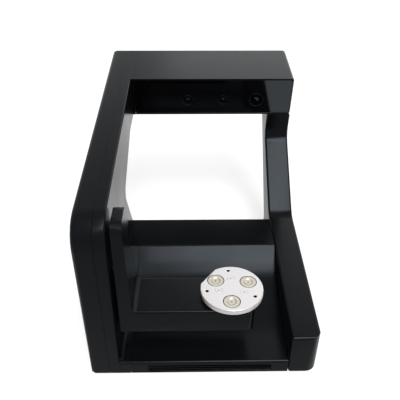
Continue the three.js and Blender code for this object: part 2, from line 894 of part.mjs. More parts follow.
// Parts on the tilt axis are made round local Z and laid along X at the pivot.
function onPivot(name, geometry, look, x) {
  return piece(name, alongX(geometry), look, x, pivotDepth, pivotHeight);
}

function pivotShaft() {
  const start = wall + shaftEndRoom;
  const plateEnd = armStart + armPlateThickness;
  const flangeStart = plateEnd + gap;
  const shaft = turned([
    [0, start],
    [shaftRadius, start],
    [shaftRadius, flangeStart],
    [shaftFlangeRadius, flangeStart],
    [shaftFlangeRadius, flangeStart + shaftFlangeThickness],
    [0, flangeStart + shaftFlangeThickness],
  ]);
  return onPivot('pivot_shaft', shaft, steel, 0);
}

function pivotBearingRadius() {
  return shaftRadius + gap + bearingWall;
}

function pivotHousing() {
  const end = housingWidth - wall - gap;
  const start = end - housingBossLength;
  const bore = pivotBearingRadius() + gap;
  const ring = turned([
    [bore, start],
    [bore + bearingWall / 2, start],
    [bore + bearingWall / 2, end - housingFlangeThickness],
    [housingFlangeRadius, end - housingFlangeThickness],
    [housingFlangeRadius, end],
    [bore, end],
    [bore, start],
  ]);
  return onPivot('pivot_housing', ring, aluminium, 0);
}

function pivotBearing() {
  const end = housingWidth - wall - gap - housingFlangeThickness / 2;
  const ring = tube(shaftRadius + gap, pivotBearingRadius(), end - bearingWidth, end);
  return onPivot('pivot_bearing', ring, steel, 0);
}

function tiltWheel() {
  const wheel = gear(tiltModule, tiltWheelTeeth, shaftRadius + gap, tiltWheelWidth);
  return onPivot('tilt_wheel', wheel, steel, tiltWheelPlace);
}

function tiltMotorDepth() {
  return pivotDepth + (tiltModule * (tiltWheelTeeth + tiltPinionTeeth)) / 2;
}

function tiltMotor() {
  const end = housingWidth - wall - gap;
  const half = tiltMotorSize / 2;
  const depth = tiltMotorDepth();
  const start = end - tiltMotorLength;
  const body = block(start, depth - half, pivotHeight - half, end, depth + half, pivotHeight + half);
  const boreEnd = start + motorShaftReach + gap;
  const bore = solid(alongX(rod(motorShaftRadius + gap, 0, boreEnd, smallTurnSteps)))
    .translate(0, depth, pivotHeight);
  return piece('tilt_motor', cut(body, bore), steel);
}

// Pinion with its shaft; the shaft runs on past the teeth into the motor.
function pinion(name, module, teeth, width, reach, look) {
  const teethPart = solid(gear(module, teeth, 0, width, true));
  const shaft = solid(rod(motorShaftRadius, 0, width + reach, smallTurnSteps));
  return piece(name, joined(teethPart, shaft), look);
}

function tiltPinion() {
  const motorStart = housingWidth - wall - gap - tiltMotorLength;
  const reach = motorStart - tiltWheelPlace - tiltWheelWidth + motorShaftReach;
  const mesh = pinion('tilt_pinion', tiltModule, tiltPinionTeeth, tiltWheelWidth, reach, steel);
  mesh.rotation.set(0, Math.PI / 2, 0);
  mesh.position.set(tiltWheelPlace, tiltMotorDepth(), pivotHeight);
  return mesh;
}

function spinBearingRadius() {
  return spindleRadius + gap + spinBearingWall;
}

function spinWheelBottom() {
  return armBottom + armWall + spinWheelRise;
}

function spinMotorPlace() {
  return spindlePlace - (spinModule * (spinWheelTeeth + spinPinionTeeth)) / 2;
}

function spinMotor() {
  const top = beamHeight - armWall - gap;
  const half = spinMotorSize / 2;
  const x = spinMotorPlace();
  const bottom = top - spinMotorLength;
  const body = block(x - half, pivotDepth - half, bottom, x + half, pivotDepth + half, top);
  const boreEnd = bottom + motorShaftReach + gap;
  const bore = solid(rod(motorShaftRadius + gap, bottom - overrun, boreEnd, smallTurnSteps))
    .translate(x, pivotDepth, 0);
  return piece('spin_motor', cut(body, bore), steel);
}

function spinPinion() {
  const motorBottom = beamHeight - armWall - gap - spinMotorLength;
  const reach = motorBottom - spinWheelBottom() - spinWheelWidth + motorShaftReach;
  const mesh = pinion('spin_pinion', spinModule, spinPinionTeeth, spinWheelWidth, reach, steel);
  mesh.position.set(spinMotorPlace(), pivotDepth, spinWheelBottom());
  return mesh;
}

function spindleBearing() {
  const top = beamHeight - armWall - gap;
  const ring = tube(spindleRadius + gap, spinBearingRadius(), top - spinBearingWidth, top);
  return piece('spindle_bearing', ring, steel, spindlePlace, pivotDepth, 0);
}

function spinWheel() {
  const wheel = gear(spinModule, spinWheelTeeth, spindleRadius + gap, spinWheelWidth);
  return piece('spin_wheel', wheel, steel, spindlePlace, pivotDepth, spinWheelBottom());
}

function spindle() {
  const bottom = armBottom + armWall + runningGap;
  const flangeBottom = beamHeight + runningGap;
  const shaft = turned([
    [0, bottom],
    [spindleRadius, bottom],
    [spindleRadius, flangeBottom],
    [spindleFlangeRadius, flangeBottom],
    [spindleFlangeRadius, discBottom - gap],
    [0, discBottom - gap],
  ]);
  return piece('spindle', shaft, steel, spindlePlace, pivotDepth, 0);
}

function onDisc(angle, placeShare) {
  const reach = placeShare * discRadius;
  const turn = radians(angle);
  return [spindlePlace + reach * Math.cos(turn), pivotDepth + reach * Math.sin(turn)];
}

// Places a turned geometry on the disc as a solid to cut with.
function discCut(geometry, angle, placeShare) {
  const [x, y] = onDisc(angle, placeShare);
  return solid(geometry).translate(x, y, 0);
}

function turntableDisc() {
  const middle = (discBottom + discTop) / 2;
  const body = solid(turned([
    [0, discBottom],
    [discRadius - discChamfer, discBottom],
    [discRadius, discBottom + discChamfer],
    [discRadius, middle - rimGroove],
    [discRadius - rimGroove, middle],
    [discRadius, middle + rimGroove],
    [discRadius, discTop - discChamfer],
    [discRadius - discChamfer, discTop],
    [0, discTop],
  ], discSteps)).translate(spindlePlace, pivotDepth, 0);
  const flat = solid(new THREE.BoxGeometry(discRadius, 2 * discRadius, 2 * discRadius))
    .translate((discFlatShare + 1 / 2) * discRadius, 0, 0)
    .rotate([0, 0, discFlatAngle])
    .translate(spindlePlace, pivotDepth, discTop);
  const pocket = rod(magnetRadius + gap, discTop - magnetDepth - gap, discTop + overrun);
  const pockets = magnetAngles.map((angle) => discCut(pocket, angle, magnetPlaceShare));
  const sink = turned([
    [0, discTop - screwLength - gap],
    [screwRadius + gap, discTop - screwLength - gap],
    [screwRadius + gap, discTop - screwHeadDepth - gap],
    [screwHeadRadius + gap, discTop - screwHeadDepth - gap],
    [screwHeadRadius + gap, discTop + overrun],
    [0, discTop + overrun],
  ], smallTurnSteps);
  const sinks = screwAngles.map((angle) => discCut(sink, angle, screwPlaceShare));
  const hole = rod(pinHoleRadius, discTop - pinHoleDepth, discTop + overrun, smallTurnSteps);
  const holes = pinHoleAngles.map((angle) => discCut(hole, angle, pinHolePlaceShare));
  return piece('turntable_disc', cut(body, flat, ...pockets, ...sinks, ...holes), silver);
}

// Pot magnet: a flat ring with a countersunk bore.
function magnet(index) {
  const low = discTop - magnetDepth;
  const ring = turned([
    [magnetBoreRadius, low],
    [magnetRadius, low],
    [magnetRadius, discTop],
    [magnetSinkRadius, discTop],
    [magnetBoreRadius, discTop - (magnetSinkRadius - magnetBoreRadius)],
    [magnetBoreRadius, low],
  ], turnSteps);
  const [x, y] = onDisc(magnetAngles[index], magnetPlaceShare);
  return piece(`magnet_${index + 1}`, ring, magnetCoat, x, y, 0);
}

function discScrew(index) {
  const shank = turned([
    [0, discTop - screwLength],
    [screwRadius, discTop - screwLength],
    [screwRadius, discTop - screwHeadDepth],
    [screwHeadRadius, discTop - screwHeadDepth],
    [screwHeadRadius, discTop - gap],
    [0, discTop - gap],
  ], smallTurnSteps);
  const [x, y] = onDisc(screwAngles[index], screwPlaceShare);
  return piece(`disc_screw_${index + 1}`, shank, steel, x, y, 0);
}

// Connectors sit in a plate in the back wall of the base and face +Y.
function connectorMiddle() {
  return connectorBottom + connectorHeight / 2;
}

function connectorPlate() {
  const face = baseDepth - wall + connectorPlateThickness;
  const z = connectorMiddle();
  const plate = block(
    connectorStart + gap,
    baseDepth - wall,
    connectorBottom + gap,
    connectorStart + connectorWidth - gap,
    face,
    connectorBottom + connectorHeight - gap,
  );
  const inletHole = solid(alongY(rod(inletRadius + gap, 0, 2 * overrun)))
    .translate(connectorStart + inletPlace, face - overrun, z);
  const portX = connectorStart + portPlace;
  const portHole = block(
    portX - portWidth / 2 - gap,
    0,
    z - portHeight / 2 - gap,
    portX + portWidth / 2 + gap,
    baseDepth + overrun,
    z + portHeight / 2 + gap,
  );
  const switchX = connectorStart + switchPlace;
  const switchHole = block(
    switchX - switchWidth / 2 - gap,
    0,
    z - switchHeight / 2 - gap,
    switchX + switchWidth / 2 + gap,
    baseDepth + overrun,
    z + switchHeight / 2 + gap,
  );
  return piece('connector_plate', cut(plate, inletHole, portHole, switchHole), darkPlastic);
}

// Round power socket with its middle pin, open to the back.
function powerInlet() {
  const depth = inletLength - wall;
  const socket = turned([
    [0, -inletLength],
    [inletRadius, -inletLength],
    [inletRadius, 0],
    [inletBoreRadius, 0],
    [inletBoreRadius, -depth],
    [inletPinRadius, -depth],
    [inletPinRadius, -wall],
    [0, -wall],
  ]);
  const mesh = piece('power_inlet', alongY(socket), darkPlastic);
  mesh.position.set(connectorStart + inletPlace, baseDepth, connectorMiddle());
  return mesh;
}

function dataPort() {
  const x = connectorStart + portPlace;
  const z = connectorMiddle();
  const halfWidth = portWidth / 2;
  const halfHeight = portHeight / 2;
  const front = baseDepth - portLength;
  const shell = block(x - halfWidth, front, z - halfHeight, x + halfWidth, baseDepth, z + halfHeight);
  const mouth = block(
    x - halfWidth + portWall,
    front + portWall,
    z - halfHeight + portWall,
    x + halfWidth - portWall,
    baseDepth + overrun,
    z + halfHeight - portWall,
  );
  const tongue = block(
    x - halfWidth + 2 * portWall,
    front,
    z - tongueThickness / 2,
    x + halfWidth - 2 * portWall,
    baseDepth - wall / 2,
    z + tongueThickness / 2,
  );
  return piece('data_port', joined(cut(shell, mouth), tongue), steel);
}

function switchFrame() {
  const x = connectorStart + switchPlace;
  const z = connectorMiddle();
  const halfWidth = switchWidth / 2;
  const halfHeight = switchHeight / 2;
  const front = baseDepth - switchDepth;
  const frame = block(x - halfWidth, front, z - halfHeight, x + halfWidth, baseDepth, z + halfHeight);
  const mouth = block(
    x - halfWidth + switchWall,
    front + switchWall,
    z - halfHeight + switchWall,
    x + halfWidth - switchWall,
    baseDepth + overrun,
    z + halfHeight - switchWall,
  );
  const pinReach = halfHeight - switchWall / 4;
  const pivot = solid(rod(rockerPinRadius + gap, z - pinReach, z + pinReach, smallTurnSteps))
    .translate(x, baseDepth - rockerPivotDepth, 0);
  return piece('switch_frame', cut(frame, mouth, pivot), darkPlastic);
}

// Rocker that tips about an upright pin, resting with one end in and the other out.
function powerRocker() {
  const half = switchWidth / 2 - switchWall - runningGap;
  const high = switchHeight / 2 - switchWall - gap;
  const body = planSolid([
    [-half, -rockerReach + rockerDip],
    [0, -rockerReach],
    [half, -rockerReach + rockerDip],
    [half, rockerReach],
    [0, rockerReach - rockerDip],
    [-half, rockerReach],
  ], -high, high);
  const reach = switchHeight / 2 - switchWall / 2;
  const pin = solid(rod(rockerPinRadius, -reach, reach, smallTurnSteps));
  const mesh = piece('power_rocker', joined(body, pin), darkPlastic);
  mesh.position.set(connectorStart + switchPlace, baseDepth - rockerPivotDepth, connectorMiddle());
  mesh.rotation.z = -radians(rockerAngle);
  return mesh;
}

function mainBoard() {
  const end = housingWidth - wall - boardStandoff - gap;
  const start = end - boardThickness;
  const boardEnd = boardStart + boardLength;
  const board = block(start, boardStart, boardBottom, end, boardEnd, boardBottom + boardHeight);
  const chips = chipShares.map(([along, up, size]) => {
    const y = boardStart + along * boardLength;
    const z = boardBottom + up * boardHeight;
    const half = (size * boardLength) / 2;
    const root = start + boardThickness / 2;
    return block(start - chipHeight, y - half, z - half / 2, root, y + half, z + half / 2);
  });
  return piece('main_board', joined(board, ...chips), boardGreen);
}

function powerSupply() {
  const low = basePlateThickness + gap;
  const box = block(
    supplyStart,
    supplyFront,
    low,
    supplyStart + supplyWidth,
    supplyFront + supplyDepth,
    low + supplyHeight,
  );
  return piece('power_supply', box, aluminium);
}

function feet() {
  const places = [];
  for (const x of [footSideInset, bodyWidth - footSideInset]) {
    for (const y of [footFrontInset, baseDepth - footFrontInset]) {
      places.push([x, y]);
    }
  }
  return places.map(([x, y], i) => {
    const foot = rod(footRadius, -footHeight, -gap);
    return piece(`foot_${i + 1}`, foot, rubber, x, y, 0);
  });
}

const scanner = new THREE.Group();
const body = new THREE.Group();
body.position.set(-bodyWidth / 2, -bodyDepth / 2, footHeight);
body.add(housingOuterCover(), housingInnerCover(), baseTray(), basePlate(), ventGrille());
body.add(railCover(), railSidePanel(), headCover(), headFloor(), headFront(), opticsOnBench());
body.add(armShell(), armBottomCover(), armSidePlate());
body.add(pivotShaft(), pivotHousing(), pivotBearing(), tiltWheel(), tiltMotor(), tiltPinion());
body.add(spinMotor(), spinPinion(), spindleBearing(), spinWheel(), spindle(), turntableDisc());
magnetAngles.forEach((_, index) => body.add(magnet(index)));
screwAngles.forEach((_, index) => body.add(discScrew(index)));
body.add(connectorPlate(), powerInlet(), dataPort(), switchFrame(), powerRocker());
body.add(mainBoard(), powerSupply(), ...feet());
scanner.add(body);

export default scanner;
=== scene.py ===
"""Finish of an open-frame desktop 3D scanner: moulded covers, a glossy lens panel, a swing arm and a
turntable with pot magnets. Metres, +Z up, front towards -Y, origin on the table under the middle."""

from math import acos, cos, pi, radians, sin, tan

import bmesh
import bpy
from bpy.props import FloatProperty, FloatVectorProperty, IntProperty, PointerProperty
from mathutils import Matrix, Vector


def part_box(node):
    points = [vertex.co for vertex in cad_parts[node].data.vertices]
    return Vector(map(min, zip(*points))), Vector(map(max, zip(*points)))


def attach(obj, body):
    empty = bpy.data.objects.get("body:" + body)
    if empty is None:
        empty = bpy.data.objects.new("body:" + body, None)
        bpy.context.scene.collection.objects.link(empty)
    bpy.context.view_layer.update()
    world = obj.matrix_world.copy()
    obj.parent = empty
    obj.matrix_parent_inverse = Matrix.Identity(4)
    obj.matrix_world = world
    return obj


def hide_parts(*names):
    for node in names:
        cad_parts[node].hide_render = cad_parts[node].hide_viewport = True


bl_info = {
    "name": "Desktop Scanner Finish",
    "version": (1, 0, 0),
    "blender": (4, 5, 0),
    "location": "View3D > Sidebar > Scanner",
    "description": "Builds the finish and fine pieces of an open-frame desktop 3D scanner",
    "category": "Object",
}

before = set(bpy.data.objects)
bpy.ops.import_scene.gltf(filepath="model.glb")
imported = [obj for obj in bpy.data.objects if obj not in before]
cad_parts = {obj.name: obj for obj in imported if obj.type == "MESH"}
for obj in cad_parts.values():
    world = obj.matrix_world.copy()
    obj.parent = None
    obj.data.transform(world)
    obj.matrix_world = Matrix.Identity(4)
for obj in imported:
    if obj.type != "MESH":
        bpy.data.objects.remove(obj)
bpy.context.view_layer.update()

MM = 0.001
SMOOTH_GROUP = "Smooth by Edge Angle"
JOIN_DISTANCE = 0.004 * MM
FILLET_STEPS = 4
HOLE_STEPS = 48
TRIO = (1, 2, 3)
PIN_DEGREES = (95, 190, 331)
BAFFLES = 3
DOME_SHARES = (1.0, 0.92, 0.8, 0.64, 0.46, 0.24)
CROWN_SHARES = (1.0, 0.94, 0.82, 0.66)
DUST_TINT = (0.30, 0.29, 0.27)
METAL_DUST_TINT = (0.5, 0.49, 0.46)
BACKWARDS = Matrix.Rotation(-pi / 2, 4, "X")
DOWNWARDS = Matrix.Rotation(pi, 4, "X")


def middle(node):
    low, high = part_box(node)
    return (low + high) / 2


def size(node):
    low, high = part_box(node)
    return high - low


def upright(node, height):
    """The place of a piece that stands over its node's middle, at a height."""
    centre = middle(node)
    return Matrix.Translation((centre.x, centre.y, height))


def behind(node, sunk=0.0):
    """The place of a piece that faces backwards from its node's back, or from a little inside it."""
    centre = middle(node)
    return Matrix.Translation((centre.x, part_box(node)[1].y - sunk, centre.z)) @ BACKWARDS


def length(name, description, default):
    """A size that the user can change, kept in metres."""
    return FloatProperty(name=name, description=description, default=default, min=0, precision=5,
                         subtype="DISTANCE", unit="LENGTH")


def share(name, description, default):
    return FloatProperty(name=name, description=description, default=default, min=0, max=1,
                         subtype="FACTOR")


def colour(name, description, default):
    return FloatVectorProperty(name=name, description=description, default=default, min=0, max=1,
                               size=3, subtype="COLOR")


def angle(name, description, degrees):
    return FloatProperty(name=name, description=description, default=radians(degrees),
                         subtype="ANGLE", unit="ROTATION")


def strength(name, description, default):
    return FloatProperty(name=name, description=description, default=default, min=0)


def count(name, description, default, least):
    return IntProperty(name=name, description=description, default=default, min=least)


class ScannerCovers(bpy.types.PropertyGroup):
    tint: colour("Cover Colour", "Colour of the black moulded covers", (0.0022, 0.0026, 0.0032))
    shine: colour("Cover Shine", "Tint of the covers' reflection", (0.80, 0.90, 1.0))
    level: share("Reflection Level", "Strength of the covers' reflection", 0.08)
    roughness: share("Cover Roughness", "Roughness of the black moulded covers", 0.23)
    grain: length("Grain", "Size of the moulded grain", 0.45 * MM)
    edge: length("Edge Radius", "Rounding of the carried solids' sharp edges", 0.35 * MM)
    smooth_angle: angle("Smooth Angle", "Edges flatter than this shade smooth", 50)


class ScannerTurntable(bpy.types.PropertyGroup):
    plate_tint: colour("Plate Colour", "Colour of the silver plate", (0.60, 0.59, 0.59))
    magnet_tint: colour("Magnet Colour", "Colour of the pot magnets", (0.50, 0.475, 0.40))
    plate_edge: length("Plate Edge", "Chamfer of the plate's edges", 0.6 * MM)
    groove: length("Rim Groove", "Depth of the groove round the rim", 0.9 * MM)
    flat_share: share("Flat Share", "Distance of the flat from the middle over the plate's radius", 0.914)
    flat_angle: angle("Flat Angle", "Direction of the flat", 144)
    steps: count("Rim Steps", "Segments round the plate", 144, 24)
    pocket_gap: length("Pocket Gap", "Gap round a magnet in its pocket", 0.4 * MM)
    seal_drop: length("Seal Drop", "Drop of a magnet's seal ring below its face", 0.12 * MM)
    magnet_shrink: length("Magnet Shrink", "Room that a magnet gives its seal ring", 0.5 * MM)
    sink: length("Magnet Sink", "Radius of a magnet's countersink", 5.7 * MM)
    magnet_screw: length("Magnet Screw", "Radius of the screw head in a magnet", 4.7 * MM)
    screw: length("Disc Screw", "Radius of a disc screw's flat head", 4.1 * MM)
    socket: length("Screw Socket", "Radius of a screw's hexagon socket", 1.0 * MM)
    pin_hole: length("Pin Hole", "Radius of a locating hole", 2.0 * MM)
    pin_depth: length("Pin Hole Depth", "Depth of a locating hole", 4 * MM)
    pin_share: share("Pin Hole Place", "Distance of the locating holes over the plate's radius", 0.805)


class ScannerOptics(bpy.types.PropertyGroup):
    panel_tint: colour("Panel Colour", "Colour of the glossy lens panel", (0.0015, 0.0015, 0.0018))
    glass_tint: colour("Glass Colour", "Colour of the coated lens glass", (0.001, 0.001, 0.0014))
    lean: angle("Lean", "Forward lean of the head's front", 7.7)
    ring_steps: count("Ring Steps", "Segments round a lens ring", 72, 12)
    bezel: length("Bezel", "Width of a lens ring's flat front", 0.8 * MM)
    baffle: length("Baffle Step", "Depth of one baffle step in a lens ring", 0.45 * MM)
    dome: length("Glass Dome", "Rise of the lens glass in its ring", 0.7 * MM)


class ScannerFittings(bpy.types.PropertyGroup):
    screw_head: length("Screw Head", "Radius of a base screw's round head", 2.6 * MM)
    screw_rise: length("Screw Rise", "Height of a base screw's round head", 0.9 * MM)
    screw_inset: length("Screw Inset", "Distance of the screws from a plate's edges", 7 * MM)
    foot_edge: length("Foot Edge", "Rounding of a rubber foot", 0.7 * MM)
    shell_wall: length("Shell Wall", "Sheet of the data port's shell", 0.5 * MM)
    contacts: count("Contacts", "Contacts on the data port's tongue", 4, 1)
    ribs: count("Rocker Ribs", "Grip ribs on each half of the switch", 3, 1)


class ScannerStage(bpy.types.PropertyGroup):
    floor_tint: colour("Floor Colour", "Colour of the pale floor", (0.30, 0.30, 0.30))
    eye: FloatVectorProperty(name="Camera Place", description="Where the camera stands",
                             default=(-0.0138, -0.6104, 0.5286), size=3, subtype="TRANSLATION",
                             unit="LENGTH")
    pitch: angle("Pitch", "How far the camera looks down", 34.25)
    turn: angle("Turn", "How far the camera is turned to the right", 1.1)
    roll: angle("Roll", "How far the camera leans", 0.3)
    focal: FloatProperty(name="Focal Length", description="Focal length in millimetres",
                         default=46.62, min=1)
    sensor: FloatProperty(name="Sensor Width", description="Width of the sensor in millimetres",
                          default=36, min=1)
    floor_reach: FloatProperty(name="Floor Reach", description="Half the width of the pale floor",
                               default=6.0, min=1, subtype="DISTANCE", unit="LENGTH")
    sky: strength("Sky Level", "Strength of the even light", 0.16)
    lift: strength("Floor Lift", "Glow of the floor for the rays that show it", 0.76)
    key: strength("Key Level", "Brightness of the front softbox", 17)
    key_turn: angle("Key Turn", "How far the front softbox stands to the right", 12)
    key_height: angle("Key Height", "Height of the front softbox above the horizon", 52)
    key_spread: angle("Key Spread", "Angle across which the front softbox is seen", 24)
    fill: strength("Fill Level", "Brightness of the softbox overhead", 16)
    fill_turn: angle("Fill Turn", "How far the softbox overhead stands to the right", 28)
    fill_height: angle("Fill Height", "Height of the softbox overhead above the horizon", 69)
    fill_spread: angle("Fill Spread", "Angle across which the softbox overhead is seen", 20)
    rear: strength("Rear Level", "Brightness of the softbox behind", 1.3)
    rear_turn: angle("Rear Turn", "How far the softbox behind stands to the right", 155)
    rear_height: angle("Rear Height", "Height of the softbox behind above the horizon", 28)
    rear_spread: angle("Rear Spread", "Angle across which the softbox behind is seen", 50)


def new_group(name, inputs, outputs):
    """An empty shader node group with named sockets, and its two end nodes."""
    group = bpy.data.node_groups.new(name, "ShaderNodeTree")
    for label, kind, default in inputs:
        socket = group.interface.new_socket(label, in_out="INPUT", socket_type=kind)
        if default is not None:
            socket.default_value = default
    for label, kind in outputs:
        group.interface.new_socket(label, in_out="OUTPUT", socket_type=kind)
    start = group.nodes.new("NodeGroupInput")
    end = group.nodes.new("NodeGroupOutput")
    return group, start, end


def feed(tree, socket, value):
    """Sets a socket to a number, or links it to another node's output."""
    if isinstance(value, (int, float)):
        socket.default_value = value
    else:
        tree.links.new(value, socket)


def math_node(tree, operation, first, second, clamp=False):
    node = tree.nodes.new("ShaderNodeMath")
    node.operation = operation
    node.use_clamp = clamp
    feed(tree, node.inputs[0], first)
    feed(tree, node.inputs[1], second)
    return node.outputs[0]


def noise_node(tree, vector, scale, detail, roughness):
    node = tree.nodes.new("ShaderNodeTexNoise")
    node.inputs["Detail"].default_value = detail
    node.inputs["Roughness"].default_value = roughness
    feed(tree, node.inputs["Scale"], scale)
    tree.links.new(vector, node.inputs["Vector"])
    return node.outputs["Fac"]


def range_node(tree, value, low, high, to_low, to_high):
    node = tree.nodes.new("ShaderNodeMapRange")
    for label, number in (("From Min", low), ("From Max", high), ("To Min", to_low), ("To Max", to_high)):
        node.inputs[label].default_value = number
    tree.links.new(value, node.inputs["Value"])
    return node.outputs["Result"]


def grain_group():
    """Fine moulded or cast grain: a height, and a value that wanders about one for the roughness."""
    tree, start, end = new_group(
        "Moulded Grain",
        [("Vector", "NodeSocketVector", None), ("Scale", "NodeSocketFloat", 2200.0),
         ("Wander", "NodeSocketFloat", 0.12)],
        [("Height", "NodeSocketFloat"), ("Roughness Share", "NodeSocketFloat")])
    fine = noise_node(tree, start.outputs["Vector"], start.outputs["Scale"], 3.0, 0.55)
    broad = noise_node(tree, start.outputs["Vector"], 18.0, 4.0, 0.6)
    centred = math_node(tree, "SUBTRACT", broad, 0.5)
    scaled = math_node(tree, "MULTIPLY", centred, start.outputs["Wander"])
    doubled = math_node(tree, "MULTIPLY", scaled, 4.0)
    tree.links.new(fine, end.inputs["Height"])
    tree.links.new(math_node(tree, "ADD", doubled, 1.0), end.inputs["Roughness Share"])
    return tree


def edge_wear_and_highlight_group():
    """A mask for convex edges, broken up by noise: rubbed wear on most finishes, and a painted
    highlight on the vent's fins.
    """
    tree, start, end = new_group(
        "Edge Wear and Highlight",
        [("Vector", "NodeSocketVector", None), ("Amount", "NodeSocketFloat", 0.5)],
        [("Mask", "NodeSocketFloat")])
    geometry = tree.nodes.new("ShaderNodeNewGeometry")
    edge = range_node(tree, geometry.outputs["Pointiness"], 0.515, 0.60, 0.0, 1.0)
    patches = noise_node(tree, start.outputs["Vector"], 160.0, 4.0, 0.65)
    broken = range_node(tree, patches, 0.35, 0.65, 0.3, 1.0)
    edge_marks = math_node(tree, "MULTIPLY", edge, broken)
    mask = math_node(tree, "MULTIPLY", edge_marks, start.outputs["Amount"], clamp=True)
    tree.links.new(mask, end.inputs["Mask"])
    return tree


def dust_group():
    """A mask for the thin dust that settles on faces that look up."""
    tree, start, end = new_group(
        "Settled Dust",
        [("Vector", "NodeSocketVector", None), ("Amount", "NodeSocketFloat", 0.1)],
        [("Mask", "NodeSocketFloat")])
    geometry = tree.nodes.new("ShaderNodeNewGeometry")
    parts = tree.nodes.new("ShaderNodeSeparateXYZ")
    tree.links.new(geometry.outputs["Normal"], parts.inputs[0])
    up = range_node(tree, parts.outputs["Z"], 0.55, 1.0, 0.0, 1.0)
    clouds = noise_node(tree, start.outputs["Vector"], 26.0, 6.0, 0.6)
    cloudy = range_node(tree, clouds, 0.3, 0.75, 0.35, 1.0)
    laid = math_node(tree, "MULTIPLY", up, cloudy)
    mask = math_node(tree, "MULTIPLY", laid, start.outputs["Amount"], clamp=True)
    tree.links.new(mask, end.inputs["Mask"])
    return tree


def turned_lines_group():
    """Height of the fine rings that a lathe leaves round the Z axis of the vector."""
    tree, start, end = new_group(
        "Turned Lines",
        [("Vector", "NodeSocketVector", None), ("Pitch", "NodeSocketFloat", 5000.0)],
        [("Height", "NodeSocketFloat")])
    flat = tree.nodes.new("ShaderNodeVectorMath")
    flat.operation = "MULTIPLY"
    flat.inputs[1].default_value = (1.0, 1.0, 0.0)
    tree.links.new(start.outputs["Vector"], flat.inputs[0])
    radius = tree.nodes.new("ShaderNodeVectorMath")
    radius.operation = "LENGTH"
    tree.links.new(flat.outputs["Vector"], radius.inputs[0])
    phase = math_node(tree, "MULTIPLY", radius.outputs["Value"], start.outputs["Pitch"])
    spread = tree.nodes.new("ShaderNodeCombineXYZ")
    tree.links.new(phase, spread.inputs["X"])
    tree.links.new(noise_node(tree, spread.outputs["Vector"], 1.0, 3.0, 0.7), end.inputs["Height"])
    return tree


GROUPS = {}


def group_node(tree, name, **values):
    """A shared group placed in a material with its own values."""
    node = tree.nodes.new("ShaderNodeGroup")
    node.node_tree = GROUPS[name]
    for label, value in values.items():
        feed(tree, node.inputs[label], value)
    return node


def blend_colours(tree, mask, first, second):
    """One colour passing into another where the mask is one."""
    node = tree.nodes.new("ShaderNodeMix")
    node.data_type = "RGBA"
    tree.links.new(mask, node.inputs["Factor"])
    first_colour, second_colour, blend = node.inputs[6], node.inputs[7], node.outputs[2]
    for socket, value in ((first_colour, first), (second_colour, second)):
        if isinstance(value, bpy.types.NodeSocket):
            tree.links.new(value, socket)
        else:
            socket.default_value = (*value, 1.0)
    return blend


def new_material(name):
    """A material, with its node tree, its shader and the place that its textures go by."""
    material = bpy.data.materials.new(name)
    material.use_nodes = True
    tree = material.node_tree
    shader = tree.nodes["Principled BSDF"]
    coordinates = tree.nodes.new("ShaderNodeTexCoord")
    return material, tree, shader, coordinates.outputs["Object"]


def bump(tree, shader, height, depth, rise):
    """Bumps in the shader's normal: their height, the share of it that shows, and its rise in metres."""
    node = tree.nodes.new("ShaderNodeBump")
    node.inputs["Strength"].default_value = depth
    node.inputs["Distance"].default_value = rise
    tree.links.new(height, node.inputs["Height"])
    tree.links.new(node.outputs["Normal"], shader.inputs["Normal"])


def surface(name, tint, roughness, *, metal=0.0, specular=0.5, grain=0.5 * MM, grain_depth=0.25,
            wander=0.12, dust=0.05, wear_and_highlight=0.15, wear_and_highlight_tint=None, shine=(1.0, 1.0, 1.0)):
    """A dense solid finish: its colour, grain, settled dust and rubbed edges. On the vent the edge tint
    is a painted highlight.
    """
    material, tree, shader, place = new_material(name)
    wear_and_highlight_tint = wear_and_highlight_tint or tuple(min(1.0, 2.5 * part + 0.01) for part in tint)
    grain_rise = 0.2 * grain
    grains = group_node(tree, "Moulded Grain", Vector=place, Scale=1 / grain, Wander=wander)
    edge_marks = group_node(tree, "Edge Wear and Highlight", Vector=place, Amount=wear_and_highlight)
    dusty = group_node(tree, "Settled Dust", Vector=place, Amount=dust)
    edge_marked = blend_colours(tree, edge_marks.outputs["Mask"], tint, wear_and_highlight_tint)
    dusted = blend_colours(tree, dusty.outputs["Mask"], edge_marked, DUST_TINT)
    tree.links.new(dusted, shader.inputs["Base Color"])
    rough = math_node(tree, "MULTIPLY", grains.outputs["Roughness Share"], roughness)
    dulled = math_node(tree, "MULTIPLY", dusty.outputs["Mask"], 0.6)
    tree.links.new(math_node(tree, "ADD", rough, dulled, clamp=True), shader.inputs["Roughness"])
    bump(tree, shader, grains.outputs["Height"], grain_depth, grain_rise)
    shader.inputs["Metallic"].default_value = metal
    shader.inputs["Specular IOR Level"].default_value = specular
    shader.inputs["Specular Tint"].default_value = (*shine, 1.0)
    return material


def turned_metal(name, tint, roughness, *, metal=1.0, depth=0.2):
    """Metal with the rings that a lathe leaves round the piece's own axis."""
    material, tree, shader, place = new_material(name)
    line_rise = 0.05 * MM
    lines = group_node(tree, "Turned Lines", Vector=place, Pitch=5000.0)
    grains = group_node(tree, "Moulded Grain", Vector=place, Scale=900.0, Wander=0.1)
    edge_marks = group_node(tree, "Edge Wear and Highlight", Vector=place, Amount=0.25)
    dusty = group_node(tree, "Settled Dust", Vector=place, Amount=0.03)
    bright = tuple(min(1.0, 1.12 * part) for part in tint)
    dull = tuple(0.93 * part for part in tint)
    streaked = blend_colours(tree, lines.outputs["Height"], dull, tint)
    edge_marked = blend_colours(tree, edge_marks.outputs["Mask"], streaked, bright)
    dusted = blend_colours(tree, dusty.outputs["Mask"], edge_marked, METAL_DUST_TINT)
    tree.links.new(dusted, shader.inputs["Base Color"])
    rough = math_node(tree, "MULTIPLY", grains.outputs["Roughness Share"], roughness)
    tree.links.new(rough, shader.inputs["Roughness"])
    bump(tree, shader, lines.outputs["Height"], depth, line_rise)
    shader.inputs["Metallic"].default_value = metal
    return material


MATERIALS = {}


